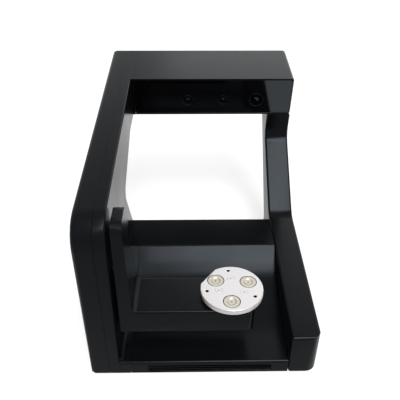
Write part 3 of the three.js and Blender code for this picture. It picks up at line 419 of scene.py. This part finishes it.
def make_materials(covers, turntable, optics):
    """The groups that the materials share, and one material for each finish."""
    GROUPS["Moulded Grain"] = grain_group()
    GROUPS["Edge Wear and Highlight"] = edge_wear_and_highlight_group()
    GROUPS["Settled Dust"] = dust_group()
    GROUPS["Turned Lines"] = turned_lines_group()
    tint, shine, grain = tuple(covers.tint), tuple(covers.shine), covers.grain
    MATERIALS.update(
        cover=surface("Satin Black Plastic", tint, covers.roughness, specular=covers.level, grain=grain,
                      grain_depth=0.18, dust=0.003, wear_and_highlight=0.10, shine=shine),
        dark=surface("Dark Plastic and Painted Shade", (0.003, 0.003, 0.004), 0.42, specular=0.2, grain=grain, dust=0.003,
                     shine=shine),
        # Painted shade for the slots (near-black, weak reflection) and a painted highlight on the fin
        # edges.
        vent=surface("Vent Painted Shade", (0.0015, 0.0015, 0.0018), 0.55, specular=0.035, grain=grain, dust=0.001,
                     wear_and_highlight=1.0, wear_and_highlight_tint=(0.035, 0.037, 0.042), shine=shine),
        gloss=surface("Glossy Black Panel", tuple(optics.panel_tint), 0.05, specular=0.5, grain=4.0 * MM,
                      grain_depth=0.01, wander=0.25, dust=0.0, wear_and_highlight=0.05, shine=shine),
        glass=surface("Coated Lens Glass", tuple(optics.glass_tint), 0.03, specular=0.35, grain=6.0 * MM,
                      grain_depth=0.01, wander=0.2, dust=0.0, wear_and_highlight=0.0, shine=(0.75, 0.85, 1.0)),
        anodised=surface("Black Anodised", (0.0010, 0.0010, 0.0013), 0.35, specular=0.1,
                         grain=0.2 * MM, grain_depth=0.1, dust=0.0, wear_and_highlight=0.1,
                         wear_and_highlight_tint=(0.01, 0.01, 0.012)),
        plate=turned_metal("Silver Plate", tuple(turntable.plate_tint), 0.34, metal=0.25, depth=0.05),
        magnet=turned_metal("Magnet Plating", tuple(turntable.magnet_tint), 0.42, metal=0.3, depth=0.04),
        steel=turned_metal("Bare Steel", (0.45, 0.46, 0.48), 0.32),
        blackened=turned_metal("Blackened Steel", (0.012, 0.012, 0.014), 0.35, metal=0.6),
        aluminium=surface("Milled Aluminium", (0.72, 0.73, 0.75), 0.34, metal=1.0, grain=0.3 * MM,
                          grain_depth=0.2, dust=0.03),
        sheet=surface("Zinc Sheet", (0.52, 0.53, 0.55), 0.38, metal=1.0, grain=3.0 * MM,
                      grain_depth=0.1, wander=0.3, dust=0.04),
        rubber=surface("Foot Rubber", (0.014, 0.014, 0.014), 0.8, specular=0.3, grain=0.3 * MM,
                       grain_depth=0.5, dust=0.02, wear_and_highlight=0.3),
        board=surface("Board Laminate", (0.02, 0.16, 0.07), 0.45, grain=1.2 * MM, grain_depth=0.3,
                      dust=0.02),
    )


CARRIED = {
    "cover": ["housing_outer_cover", "housing_inner_cover", "base_tray", "rail_cover", "rail_side_panel",
              "head_cover", "head_floor", "arm_shell", "arm_bottom_cover"],
    "vent": ["vent_grille"],
    "dark": ["connector_plate", "power_inlet", "switch_frame", "power_rocker"],
    "gloss": ["lens_panel"],
    "glass": ["lens_window_left", "lens_window_middle", "lens_window_right"],
    "anodised": ["lens_ring_left", "lens_ring_middle", "lens_ring_right", "camera_left_body",
                 "camera_left_lens", "projector_body", "projector_lens", "camera_right_body",
                 "camera_right_lens"],
    "aluminium": ["optical_bench", "arm_side_plate", "pivot_housing"],
    "sheet": ["base_plate", "power_supply", "tilt_motor", "spin_motor", "data_port"],
    "blackened": ["pivot_shaft"],
    "steel": ["pivot_bearing", "tilt_wheel", "tilt_pinion", "spin_pinion",
              "spindle_bearing", "spin_wheel", "spindle", "disc_screw_1", "disc_screw_2", "disc_screw_3"],
    "plate": ["turntable_disc"],
    "magnet": ["magnet_1", "magnet_2", "magnet_3"],
    "rubber": ["foot_1", "foot_2", "foot_3", "foot_4"],
    "board": ["main_board"],
}


def smoothing_tree():
    """Joins a mesh's split corners and shades it smooth, apart from its real edges."""
    tree = bpy.data.node_groups.new(SMOOTH_GROUP, "GeometryNodeTree")
    tree.interface.new_socket("Geometry", in_out="INPUT", socket_type="NodeSocketGeometry")
    tree.interface.new_socket("Angle", in_out="INPUT", socket_type="NodeSocketFloat")
    tree.interface.new_socket("Geometry", in_out="OUTPUT", socket_type="NodeSocketGeometry")
    start, end = tree.nodes.new("NodeGroupInput"), tree.nodes.new("NodeGroupOutput")
    merge = tree.nodes.new("GeometryNodeMergeByDistance")
    merge.inputs["Distance"].default_value = JOIN_DISTANCE
    bend = tree.nodes.new("GeometryNodeInputMeshEdgeAngle")
    sharp = math_node(tree, "GREATER_THAN", bend.outputs[0], start.outputs["Angle"])
    smooth = tree.nodes.new("GeometryNodeSetShadeSmooth")
    smooth.domain = "FACE"
    crease = tree.nodes.new("GeometryNodeSetShadeSmooth")
    crease.domain = "EDGE"
    crease.inputs["Shade Smooth"].default_value = False
    tree.links.new(start.outputs["Geometry"], merge.inputs["Geometry"])
    tree.links.new(merge.outputs["Geometry"], smooth.inputs[0])
    tree.links.new(smooth.outputs[0], crease.inputs[0])
    tree.links.new(sharp, crease.inputs["Selection"])
    tree.links.new(crease.outputs[0], end.inputs["Geometry"])
    return tree


def soften(piece, bend, edge=0.0):
    """Shades a piece's curves smooth, and rounds its real edges a little where an edge is given."""
    tree = bpy.data.node_groups.get(SMOOTH_GROUP) or smoothing_tree()
    smooth = piece.modifiers.new("Smooth", "NODES")
    smooth.node_group = tree
    smooth[tree.interface.items_tree["Angle"].identifier] = bend
    if edge > 0:
        bevel = piece.modifiers.new("Edges", "BEVEL")
        bevel.width = edge
        bevel.segments = 2
        bevel.limit_method = "ANGLE"
        bevel.angle_limit = bend
        bevel.harden_normals = False
    weigh = piece.modifiers.new("Normals", "WEIGHTED_NORMAL")
    weigh.keep_sharp = True
    weigh.weight = 80


class SCANNER_OT_dress_nodes(bpy.types.Operator):
    """Give the carried-over solids their finish and soft edges"""

    bl_idname = "scanner.dress_nodes"
    bl_label = "Dress Solids"

    def execute(self, context):
        covers = context.scene.scanner_covers
        make_materials(covers, context.scene.scanner_turntable, context.scene.scanner_optics)
        for finish, names in CARRIED.items():
            for name in names:
                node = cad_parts[name]
                node.data.materials.clear()
                node.data.materials.append(MATERIALS[finish])
                soften(node, covers.smooth_angle, covers.edge)
        return {"FINISHED"}


def arc_corners(corners):
    """Points of an outline: corners (across, along, fillet), each fillet an arc of that radius."""
    points = []
    for index, (across, along, *fillet) in enumerate(corners):
        corner = Vector((across, along))
        if not any(fillet):
            points.append(tuple(corner))
            continue
        radius = fillet[0]
        before = (Vector(corners[index - 1][:2]) - corner).normalized()
        after = (Vector(corners[(index + 1) % len(corners)][:2]) - corner).normalized()
        half = acos(max(-1.0, min(1.0, before.dot(after)))) / 2
        centre = corner + (before + after).normalized() * radius / sin(half)
        first = corner + before * radius / tan(half) - centre
        last = corner + after * radius / tan(half) - centre
        for step in range(FILLET_STEPS + 1):
            done = step / FILLET_STEPS
            spoke = (first * (1 - done) + last * done).normalized() * radius
            points.append(tuple(centre + spoke))
    return points


def circle(radius, steps, place=(0.0, 0.0)):
    """Points (across, along) of a circle round a place."""
    turns = [2 * pi * step / steps for step in range(steps)]
    return [(place[0] + radius * cos(turn), place[1] + radius * sin(turn)) for turn in turns]


def loop(sheet, points, height):
    """A closed row of corners at one height."""
    return [sheet.verts.new((across, along, height)) for across, along in points]


def bridge(sheet, low, high):
    """Faces between two closed rows of corners with equal counts, or with a single point."""
    sides = max(len(low), len(high))
    for index in range(sides if sides > 1 else 0):
        ahead = index + 1
        corners = [low[index % len(low)], low[ahead % len(low)], high[ahead % len(high)],
                   high[index % len(high)]]
        sheet.faces.new(list(dict.fromkeys(corners)))


def turn_profile(sheet, profile, steps, closed=True):
    """Turns a profile of (radius, height) points round the Z axis."""
    rows = [loop(sheet, circle(radius, steps) if radius > 0 else [(0.0, 0.0)], height)
            for radius, height in profile]
    for low, high in zip(rows, rows[1:] + (rows[:1] if closed else [])):
        bridge(sheet, low, high)


def stack(sheet, rows, base=True, top=True):
    """Walls between rows of corners that lie on each other, with an optional face at each end."""
    for low, high in zip(rows, rows[1:]):
        bridge(sheet, low, high)
    if base:
        sheet.faces.new(rows[0])
    if top:
        sheet.faces.new(rows[-1])


def crown(out, reach, rise):
    """Height of a round cap over its seat, at a distance from its middle."""
    curve = (reach ** 2 + rise ** 2) / (2 * rise)
    return (curve ** 2 - out ** 2) ** 0.5 - curve + rise


def fill_between(sheet, loops):
    """A flat face inside the first loop and outside the others."""
    edges = []
    for row in loops:
        for first, second in zip(row, row[1:] + row[:1]):
            edges.append(sheet.edges.get((first, second)) or sheet.edges.new((first, second)))
    bmesh.ops.triangle_fill(sheet, use_beauty=True, use_dissolve=True, edges=edges)


def add_piece(name, sheet, finish, body, place, replaced=(), bend=35, inner=None):
    """Makes a piece of the object from a finished sheet of faces and lets it ride on a body. The inner
    finish, a painted shade inside holes and sockets, covers the faces marked for it."""
    if not sheet.faces:
        raise RuntimeError(f"{name} has no faces")
    bmesh.ops.recalc_face_normals(sheet, faces=sheet.faces)
    mesh = bpy.data.meshes.new(name)
    sheet.to_mesh(mesh)
    sheet.free()
    piece = bpy.data.objects.new(name, mesh)
    piece.matrix_world = place
    bpy.context.scene.collection.objects.link(piece)
    mesh.materials.append(MATERIALS[finish])
    if inner:
        mesh.materials.append(MATERIALS[inner])
    soften(piece, radians(bend))
    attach(piece, body)
    if replaced:
        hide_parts(*replaced)


def shade_inside(sheet, outside):
    """Marks the faces that came after the outside ones for the inner finish: a painted shade inside."""
    for face in set(sheet.faces) - outside:
        face.material_index = 1


def socket_screw(sheet, head, depth, shank, length_below, socket, top=0.0):
    """A countersunk screw with a hexagon socket, its head's face at the given height."""
    chamfer = 0.12 * MM
    profile = [(shank, length_below), (shank, depth), (head, 2 * chamfer), (head, chamfer),
               (head - chamfer, 0.0)]
    rows = [loop(sheet, circle(radius, HOLE_STEPS), top - down) for radius, down in profile]
    stack(sheet, rows, top=False)
    hexagon = circle(socket, steps=6)
    lip, floor = loop(sheet, hexagon, top), loop(sheet, hexagon, top - 0.8 * depth)
    fill_between(sheet, [rows[-1], lip])
    outside = set(sheet.faces)
    stack(sheet, [lip, floor], base=False)
    # The socket's walls and floor take the dark inner finish: painted shade.
    shade_inside(sheet, outside)


class SCANNER_OT_build_turntable(bpy.types.Operator):
    """Build the silver plate, its pot magnets and its screws"""

    bl_idname = "scanner.build_turntable"
    bl_label = "Build Turntable"

    def execute(self, context):
        turntable = context.scene.scanner_turntable
        build_plate(turntable)
        for number in TRIO:
            build_magnet(turntable, number)
            build_disc_screw(turntable, number)
        return {"FINISHED"}


def rim_points(radius, turntable, inset):
    """The plate's outline with its one flat, drawn in by an inset. Every inset gives as many points."""
    reach = radius - inset
    flat = radius * turntable.flat_share - inset
    half = acos(flat / reach)
    clear = acos(turntable.flat_share) + pi / turntable.steps
    points = []
    for step in range(turntable.steps):
        turn = 2 * pi * step / turntable.steps
        off = abs((turn - turntable.flat_angle + pi) % (2 * pi) - pi)
        if off > clear:
            points.append((turn, reach))
    points += [(turntable.flat_angle - half, reach), (turntable.flat_angle + half, reach)]
    return [(far * cos(turn), far * sin(turn)) for turn, far in sorted(points)]


def build_plate(turntable):
    """The silver plate: a grooved rim with one flat, wells for magnets and screws, and locating holes."""
    low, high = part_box("turntable_disc")
    centre = (low + high) / 2
    radius, thick = (high.x - low.x) / 2, high.z - low.z
    chamfer, groove, gap = turntable.plate_edge, turntable.groove, turntable.pocket_gap
    mouth, lip, slope = 0.55 * thick, 0.76 * thick, 0.3 * groove
    screw_gap, screw_chamfer, pin_chamfer = 0.15 * MM, 0.1 * MM, 0.25 * MM
    profile = [(chamfer, 0.0), (0.0, chamfer), (0.0, mouth), (groove, mouth + slope),
               (groove, lip - slope), (0.0, lip), (0.0, thick - chamfer), (chamfer, thick)]
    sheet = bmesh.new()
    rows = [loop(sheet, rim_points(radius, turntable, inset), height) for inset, height in profile]
    stack(sheet, rows, top=False)
    mouths = [rows[-1]]
    for number in TRIO:
        name = f"magnet_{number}"
        place, magnet = middle(name) - centre, size(name)
        mouths.append(well(sheet, place.xy, magnet.x / 2 + gap, thick, magnet.z + gap, gap / 4))
    seat, screw_depth = turntable.screw + screw_gap, 0.35 * thick
    for number in TRIO:
        place = middle(f"disc_screw_{number}") - centre
        mouths.append(well(sheet, place.xy, seat, thick, screw_depth, screw_chamfer))
    for degrees in PIN_DEGREES:
        turn, far = radians(degrees), radius * turntable.pin_share
        place = (far * cos(turn), far * sin(turn))
        mouths.append(well(sheet, place, turntable.pin_hole, thick, turntable.pin_depth, pin_chamfer,
                           shaded_from=0.2))
    fill_between(sheet, mouths)
    # The dark inner finish in the locating holes is painted shade.
    add_piece("turntable_plate", sheet, "plate", "turntable",
              upright("turntable_disc", low.z), ["turntable_disc"], inner="dark")


def well(sheet, place, radius, top, depth, chamfer, shaded_from=1.0):
    """A blind hole with a chamfered mouth, lined with the inner finish, a painted shade, from a share of
    its depth down. It gives back the mouth's corners."""
    shaded = shaded_from < 1
    mouth = loop(sheet, circle(radius + chamfer, HOLE_STEPS, place), top)
    wall = circle(radius, HOLE_STEPS, place)
    rows = [mouth, loop(sheet, wall, top - chamfer)]
    if shaded:
        rows.append(loop(sheet, wall, top - shaded_from * depth))
    stack(sheet, rows, base=False, top=False)
    outside = set(sheet.faces)
    stack(sheet, [rows[-1], loop(sheet, wall, top - depth)], base=False)
    if shaded:
        shade_inside(sheet, outside)
    return mouth


def build_magnet(turntable, number):
    """A plated ring magnet with a countersunk bore, its seal ring, and the socket screw that holds it."""
    name = f"magnet_{number}"
    low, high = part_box(name)
    outer, thick = (high.x - low.x) / 2, high.z - low.z
    radius = outer - turntable.magnet_shrink
    sink, head = turntable.sink, turntable.magnet_screw
    recess, clearance, rim, sink_rim, sink_depth = 0.08 * MM, 0.05 * MM, 0.35 * MM, 0.12 * MM, 0.95 * MM
    bore, base = 0.6 * head, clearance - thick
    place = upright(name, high.z - recess)
    sheet = bmesh.new()
    turn_profile(sheet, arc_corners([
        (bore, base),
        (radius, base),
        (radius, 0.0, rim),
        (sink, 0.0, sink_rim),
        (head + clearance, -sink_depth),
        (bore, -0.75 * thick),
    ]), steps=72)
    add_piece(name + "_ring", sheet, "magnet", "turntable", place, [name])
    slit = 0.03 * MM
    seal_inner, seal_outer = radius + slit, outer + turntable.pocket_gap - slit
    seal = bmesh.new()
    turn_profile(seal, [
        (seal_inner, base),
        (seal_outer, base),
        (seal_outer, -turntable.seal_drop),
        (seal_inner, -turntable.seal_drop),
    ], steps=72)
    add_piece(name + "_seal", seal, "dark", "turntable", place)
    screw_gap, screw_depth, screw_drop = 0.45 * MM, 1.6 * MM, 0.75 * MM
    screw = bmesh.new()
    socket_screw(screw, head - screw_gap, screw_depth, 0.45 * head, thick, turntable.socket, -screw_drop)
    # The dark inner finish in the screw's socket is painted shade.
    add_piece(name + "_screw", screw, "magnet", "turntable", place, inner="dark")


def build_disc_screw(turntable, number):
    """A flush screw with a hexagon socket, a little below the plate's top."""
    name = f"disc_screw_{number}"
    head, depth, recess = turntable.screw, 1.8 * MM, 0.05 * MM
    sheet = bmesh.new()
    socket_screw(sheet, head, depth, 0.4 * head, size(name).z, 0.8 * turntable.socket)
    place = upright(name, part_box("turntable_disc")[1].z - recess)
    # The dark inner finish in the screw's socket is painted shade.
    add_piece(name + "_fine", sheet, "plate", "turntable", place, [name], inner="dark")


class SCANNER_OT_build_lenses(bpy.types.Operator):
    """Build the three lens rings with their baffles and coated glasses"""

    bl_idname = "scanner.build_lenses"
    bl_label = "Build Lenses"

    def execute(self, context):
        optics = context.scene.scanner_optics
        for side in ("left", "middle", "right"):
            build_lens(optics, side)
        return {"FINISHED"}


def build_lens(optics, side):
    """A lens ring with baffle steps down to its window, and the window's domed glass."""
    ring, window = "lens_ring_" + side, "lens_window_" + side
    radius, clear = size(ring).x / 2, size(window).x / 2
    deep = (size(ring).y - 2 * radius * sin(optics.lean)) / cos(optics.lean)
    thick = (size(window).y - 2 * clear * sin(optics.lean)) / cos(optics.lean)
    outward = Matrix.Rotation(pi / 2 + optics.lean, 4, "X")
    gap, outer_edge, inner_edge = 0.1 * MM, 0.35 * MM, 0.15 * MM
    front, inner, step = deep / 2, radius - optics.bezel, optics.baffle
    profile = [(clear + gap, -front), (radius, -front), (radius, front, outer_edge),
               (inner, front, inner_edge)]
    for number in range(BAFFLES):
        across = inner - (inner - clear - gap) * (number + 0.6) / BAFFLES
        profile += [(across, front - (number + 0.4) * step), (across, front - (number + 1) * step)]
    sheet = bmesh.new()
    turn_profile(sheet, arc_corners(profile), optics.ring_steps)
    place = Matrix.Translation(middle(ring)) @ outward
    add_piece(ring + "_stepped", sheet, "anodised", "frame", place, [ring])
    rise, bulb = optics.dome, 0.4 * clear
    back, face = -thick / 2, thick / 2 - rise
    rounds = [(bulb * out, face + crown(bulb * out, bulb, rise)) for out in DOME_SHARES]
    dome = bmesh.new()
    turn_profile(dome, [(0.0, back), (clear, back), (clear, face), *rounds, (0.0, face + rise)],
                 optics.ring_steps, closed=False)
    place = Matrix.Translation(middle(window)) @ outward
    add_piece(window + "_glass", dome, "glass", "frame", place, [window], bend=25)


class SCANNER_OT_build_fittings(bpy.types.Operator):
    """Build the feet, the screws underneath, and the port, inlet and switch at the back"""

    bl_idname = "scanner.build_fittings"
    bl_label = "Build Fittings"

    def execute(self, context):
        fittings = context.scene.scanner_fittings
        for number in (1, 2, 3, 4):
            build_foot(fittings, number)
        build_screws(fittings)
        build_port(fittings)
        build_inlet()
        build_ribs(fittings)
        return {"FINISHED"}


def build_foot(fittings, number):
    """A rubber foot with a dimple and a groove in its tread."""
    name = f"foot_{number}"
    low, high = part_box(name)
    radius, tall = (high.x - low.x) / 2, high.z - low.z
    edge, dimple, groove = fittings.foot_edge, 0.45 * tall, 0.12 * tall
    sheet = bmesh.new()
    turn_profile(sheet, arc_corners([
        (0.0, dimple),
        (0.30 * radius, dimple),
        (0.36 * radius, 0.0, 0.2 * edge),
        (0.60 * radius, 0.0),
        (0.64 * radius, groove),
        (0.70 * radius, groove),
        (0.74 * radius, 0.0),
        (radius, 0.0, edge),
        (radius, tall),
        (0.0, tall),
    ]), steps=64, closed=False)
    add_piece(name + "_pad", sheet, "rubber", "frame", upright(name, low.z), [name])


def cross_screw(sheet, head, rise):
    """A round-headed screw with a cross slot, its seat at height zero and its head above."""
    rows = [loop(sheet, circle(head * out, steps=40), crown(head * out, head, rise))
            for out in CROWN_SHARES]
    stack(sheet, rows, top=False)
    arm, half, narrowing, slot_floor = 0.5 * head, 0.12 * head, 0.75, 0.1 * rise
    corners = []
    for quarter in range(4):
        turn = Matrix.Rotation(quarter * pi / 2, 2)
        corners += [turn @ Vector(corner) for corner in ((arm, -half), (arm, half), (half, half))]
    lip = loop(sheet, corners, rows[-1][0].co.z)
    floor = loop(sheet, [narrowing * corner for corner in corners], slot_floor)
    fill_between(sheet, [rows[-1], lip])
    stack(sheet, [lip, floor], base=False)


def build_screws(fittings):
    """Screws in the base plate, the arm's bottom cover and the connector plate."""
    head, rise, inset = fittings.screw_head, fittings.screw_rise, fittings.screw_inset
    for node, body in (("base_plate", "frame"), ("arm_bottom_cover", "arm")):
        low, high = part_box(node)
        places = [(x, y) for x in (low.x + inset, high.x - inset) for y in (low.y + inset, high.y - inset)]
        for number, (x, y) in enumerate(places, 1):
            sheet = bmesh.new()
            cross_screw(sheet, head, rise)
            place = Matrix.Translation((x, y, low.z)) @ DOWNWARDS
            add_piece(f"{node}_screw_{number}", sheet, "steel", body, place)
    low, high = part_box("connector_plate")
    small, end = 0.6, 0.45 * inset
    for number, x in enumerate((low.x + end, high.x - end), 1):
        sheet = bmesh.new()
        cross_screw(sheet, small * head, small * rise)
        place = Matrix.Translation((x, high.y, middle("connector_plate").z)) @ BACKWARDS
        add_piece(f"connector_plate_screw_{number}", sheet, "steel", "frame", place)


def oblong(width, height, radius, place=(0.0, 0.0)):
    """Corners of a rounded rectangle round a place."""
    x, y = width / 2, height / 2
    corners = arc_corners([(-x, -y, radius), (x, -y, radius), (x, y, radius), (-x, y, radius)])
    return [(place[0] + across, place[1] + along) for across, along in corners]


def build_port(fittings):
    """A sheet-metal shell, and the tongue inside it with its contacts."""
    wide, deep, tall = size("data_port")
    wall = fittings.shell_wall
    outer_corner, inner_corner, hem = 0.8 * MM, 0.4 * MM, 0.1 * MM
    outer = oblong(wide, tall, outer_corner)
    inner = oblong(wide - 2 * wall, tall - 2 * wall, inner_corner)
    place = behind("data_port")
    sheet = bmesh.new()
    stack(sheet, [loop(sheet, outer, -deep), loop(sheet, outer, -hem), loop(sheet, outer, 0.0),
                  loop(sheet, inner, 0.0), loop(sheet, inner, -0.7 * deep)])
    add_piece("data_port_shell", sheet, "sheet", "frame", place, ["data_port"])
    tongue_thick, tongue_corner, tongue_lift = 0.26 * tall, 0.15 * MM, 0.12 * tall
    board = oblong(0.72 * wide, tongue_thick, tongue_corner, (0.0, tongue_lift))
    tongue = bmesh.new()
    stack(tongue, [loop(tongue, board, -0.69 * deep), loop(tongue, board, -0.12 * deep)])
    add_piece("data_port_tongue", tongue, "dark", "frame", place)
    pitch = 0.6 * wide / fittings.contacts
    strip_thick, strip_corner, underside = 0.3 * MM, 0.1 * MM, tongue_lift - tongue_thick / 2
    strips = bmesh.new()
    for number in range(fittings.contacts):
        across = (number - (fittings.contacts - 1) / 2) * pitch
        strip = oblong(0.5 * pitch, strip_thick, strip_corner, (across, underside))
        stack(strips, [loop(strips, strip, -0.65 * deep), loop(strips, strip, -0.2 * deep)])
    add_piece("data_port_contacts", strips, "magnet", "frame", place)


def build_inlet():
    """A round power inlet with its centre pin."""
    radius, deep = size("power_inlet").x / 2, size("power_inlet").y
    bore, floor = 0.66 * radius, -0.8 * deep
    rim, mouth = 0.4 * MM, 0.3 * MM
    place = behind("power_inlet")
    sheet = bmesh.new()
    turn_profile(sheet, arc_corners([
        (0.0, -deep),
        (radius, -deep),
        (radius, 0.0, rim),
        (bore, 0.0, mouth),
        (bore, floor),
        (0.0, floor),
    ]), steps=56, closed=False)
    add_piece("power_inlet_barrel", sheet, "dark", "frame", place, ["power_inlet"])
    thick, tip = 0.24 * radius, -0.12 * deep
    pin = bmesh.new()
    turn_profile(pin, arc_corners([
        (0.0, floor),
        (thick, floor),
        (thick, tip, 0.2 * radius),
        (0.0, tip),
    ]), steps=32, closed=False)
    add_piece("power_inlet_pin", pin, "steel", "frame", place)


def build_ribs(fittings):
    """Grip ribs across the two halves of the rocker."""
    wide, _, tall = size("power_rocker")
    pitch, first = 0.09 * wide, 0.17 * wide
    corner, depth, sunk = 0.1 * MM, 1.6 * MM, 0.5 * MM
    sheet = bmesh.new()
    for half in (-1, 1):
        for number in range(fittings.ribs):
            rib = oblong(0.45 * pitch, 0.62 * tall, corner, (half * (first + number * pitch), 0.0))
            stack(sheet, [loop(sheet, rib, -depth), loop(sheet, rib, 0.0)])
    place = behind("power_rocker", sunk)
    add_piece("power_rocker_ribs", sheet, "dark", "power_rocker", place)


class SCANNER_OT_build_stage(bpy.types.Operator):
    """Build the floor, the soft light and the camera"""

    bl_idname = "scanner.build_stage"
    bl_label = "Build Stage"

    def execute(self, context):
        stage = context.scene.scanner_stage
        build_floor(stage)
        build_light(stage)
        build_camera(stage)
        context.scene.view_settings.view_transform = "Standard"
        return {"FINISHED"}


def build_floor(stage):
    """The pale floor. It glows for the rays that show the background, and keeps the object's shadow."""
    reach = stage.floor_reach
    sheet = bmesh.new()
    corners = ((-reach, -reach), (reach, -reach), (reach, reach), (-reach, reach))
    sheet.faces.new([sheet.verts.new((x, y, 0)) for x, y in corners])
    mesh = bpy.data.meshes.new("floor")
    sheet.to_mesh(mesh)
    sheet.free()
    floor = bpy.data.objects.new("floor", mesh)
    bpy.context.scene.collection.objects.link(floor)
    material, tree, shader, place = new_material("Pale Floor")
    grains = group_node(tree, "Moulded Grain", Vector=place, Scale=60.0, Wander=0.1)
    tint = tuple(stage.floor_tint)
    paler = tuple(min(1.0, 1.01 * part) for part in tint)
    mottled = blend_colours(tree, grains.outputs["Height"], tint, paler)
    tree.links.new(mottled, shader.inputs["Base Color"])
    shader.inputs["Roughness"].default_value = 0.9
    shader.inputs["Specular IOR Level"].default_value = 0.1
    glow = tree.nodes.new("ShaderNodeEmission")
    tree.links.new(math_node(tree, "MULTIPLY", seen_rays(tree), stage.lift), glow.inputs["Strength"])
    both = tree.nodes.new("ShaderNodeAddShader")
    tree.links.new(shader.outputs["BSDF"], both.inputs[0])
    tree.links.new(glow.outputs["Emission"], both.inputs[1])
    tree.links.new(both.outputs[0], tree.nodes["Material Output"].inputs["Surface"])
    mesh.materials.append(material)


def seen_rays(tree):
    """One for the rays that show the background: camera, glossy and transmission."""
    path = tree.nodes.new("ShaderNodeLightPath")
    glossy = math_node(tree, "ADD", path.outputs["Is Camera Ray"], path.outputs["Is Glossy Ray"])
    return math_node(tree, "ADD", glossy, path.outputs["Is Transmission Ray"], clamp=True)


def build_light(stage):
    """An even sky, white for the rays that show it, and three softboxes."""
    world = bpy.data.worlds.new("Studio")
    bpy.context.scene.world = world
    world.use_nodes = True
    tree = world.node_tree
    background = tree.nodes["Background"]
    background.inputs["Color"].default_value = (1.0, 1.0, 1.0, 1.0)
    lift = math_node(tree, "MULTIPLY", seen_rays(tree), 1.0 - stage.sky)
    tree.links.new(math_node(tree, "ADD", lift, stage.sky), background.inputs["Strength"])
    softbox("softbox_key", stage.key_turn, stage.key_height, stage.key_spread, stage.key)
    softbox("softbox_fill", stage.fill_turn, stage.fill_height, stage.fill_spread, stage.fill)
    softbox("softbox_rear", stage.rear_turn, stage.rear_height, stage.rear_spread, stage.rear)


def softbox(name, turn, height, spread, level):
    """A round softbox far away, so that it lights the whole floor alike. The level is its brightness."""
    lamp = bpy.data.lights.new(name, "SUN")
    lamp.angle = spread
    lamp.energy = level * pi * sin(spread / 2) ** 2
    away = Vector((sin(turn) * cos(height), -cos(turn) * cos(height), sin(height)))
    holder = bpy.data.objects.new(name, lamp)
    holder.location = away
    holder.rotation_euler = away.to_track_quat("Z", "Y").to_euler()
    bpy.context.scene.collection.objects.link(holder)


def build_camera(stage):
    """The camera at its place, turned, pitched and rolled."""
    turn, pitch, roll = stage.turn, stage.pitch, stage.roll
    right = Vector((cos(turn), -sin(turn), 0))
    ahead = Vector((sin(turn) * cos(pitch), cos(turn) * cos(pitch), -sin(pitch)))
    up = right.cross(ahead)
    side = cos(roll) * right + sin(roll) * up
    top = -sin(roll) * right + cos(roll) * up
    facing = Matrix((side, top, -ahead)).transposed().to_4x4()
    lens = bpy.data.cameras.new("camera")
    lens.sensor_width = stage.sensor
    lens.lens = stage.focal
    camera = bpy.data.objects.new("camera", lens)
    camera.matrix_world = Matrix.Translation(stage.eye) @ facing
    bpy.context.scene.collection.objects.link(camera)
    bpy.context.scene.camera = camera


BUILD_STEPS = (
    ("scanner_covers", ScannerCovers, SCANNER_OT_dress_nodes),
    ("scanner_turntable", ScannerTurntable, SCANNER_OT_build_turntable),
    ("scanner_optics", ScannerOptics, SCANNER_OT_build_lenses),
    ("scanner_fittings", ScannerFittings, SCANNER_OT_build_fittings),
    ("scanner_stage", ScannerStage, SCANNER_OT_build_stage),
)


class SCANNER_PT_finish(bpy.types.Panel):
    """Sizes, colours and build steps of the scanner"""

    bl_idname = "SCANNER_PT_finish"
    bl_label = "Desktop Scanner"
    bl_space_type = "VIEW_3D"
    bl_region_type = "UI"
    bl_category = "Scanner"

    def draw(self, context):
        for settings, kind, operator in BUILD_STEPS:
            group = getattr(context.scene, settings)
            box = self.layout.box()
            for name in kind.__annotations__:
                box.prop(group, name)
            box.operator(operator.bl_idname)


def register():
    for settings, kind, operator in BUILD_STEPS:
        bpy.utils.register_class(kind)
        setattr(bpy.types.Scene, settings, PointerProperty(type=kind))
        bpy.utils.register_class(operator)
    bpy.utils.register_class(SCANNER_PT_finish)


def unregister():
    bpy.utils.unregister_class(SCANNER_PT_finish)
    for settings, kind, operator in reversed(BUILD_STEPS):
        bpy.utils.unregister_class(operator)
        delattr(bpy.types.Scene, settings)
        bpy.utils.unregister_class(kind)


def main():
    register()
    bpy.ops.scanner.dress_nodes()
    bpy.ops.scanner.build_turntable()
    bpy.ops.scanner.build_lenses()
    bpy.ops.scanner.build_fittings()
    bpy.ops.scanner.build_stage()


if __name__ == "__main__":
    main()
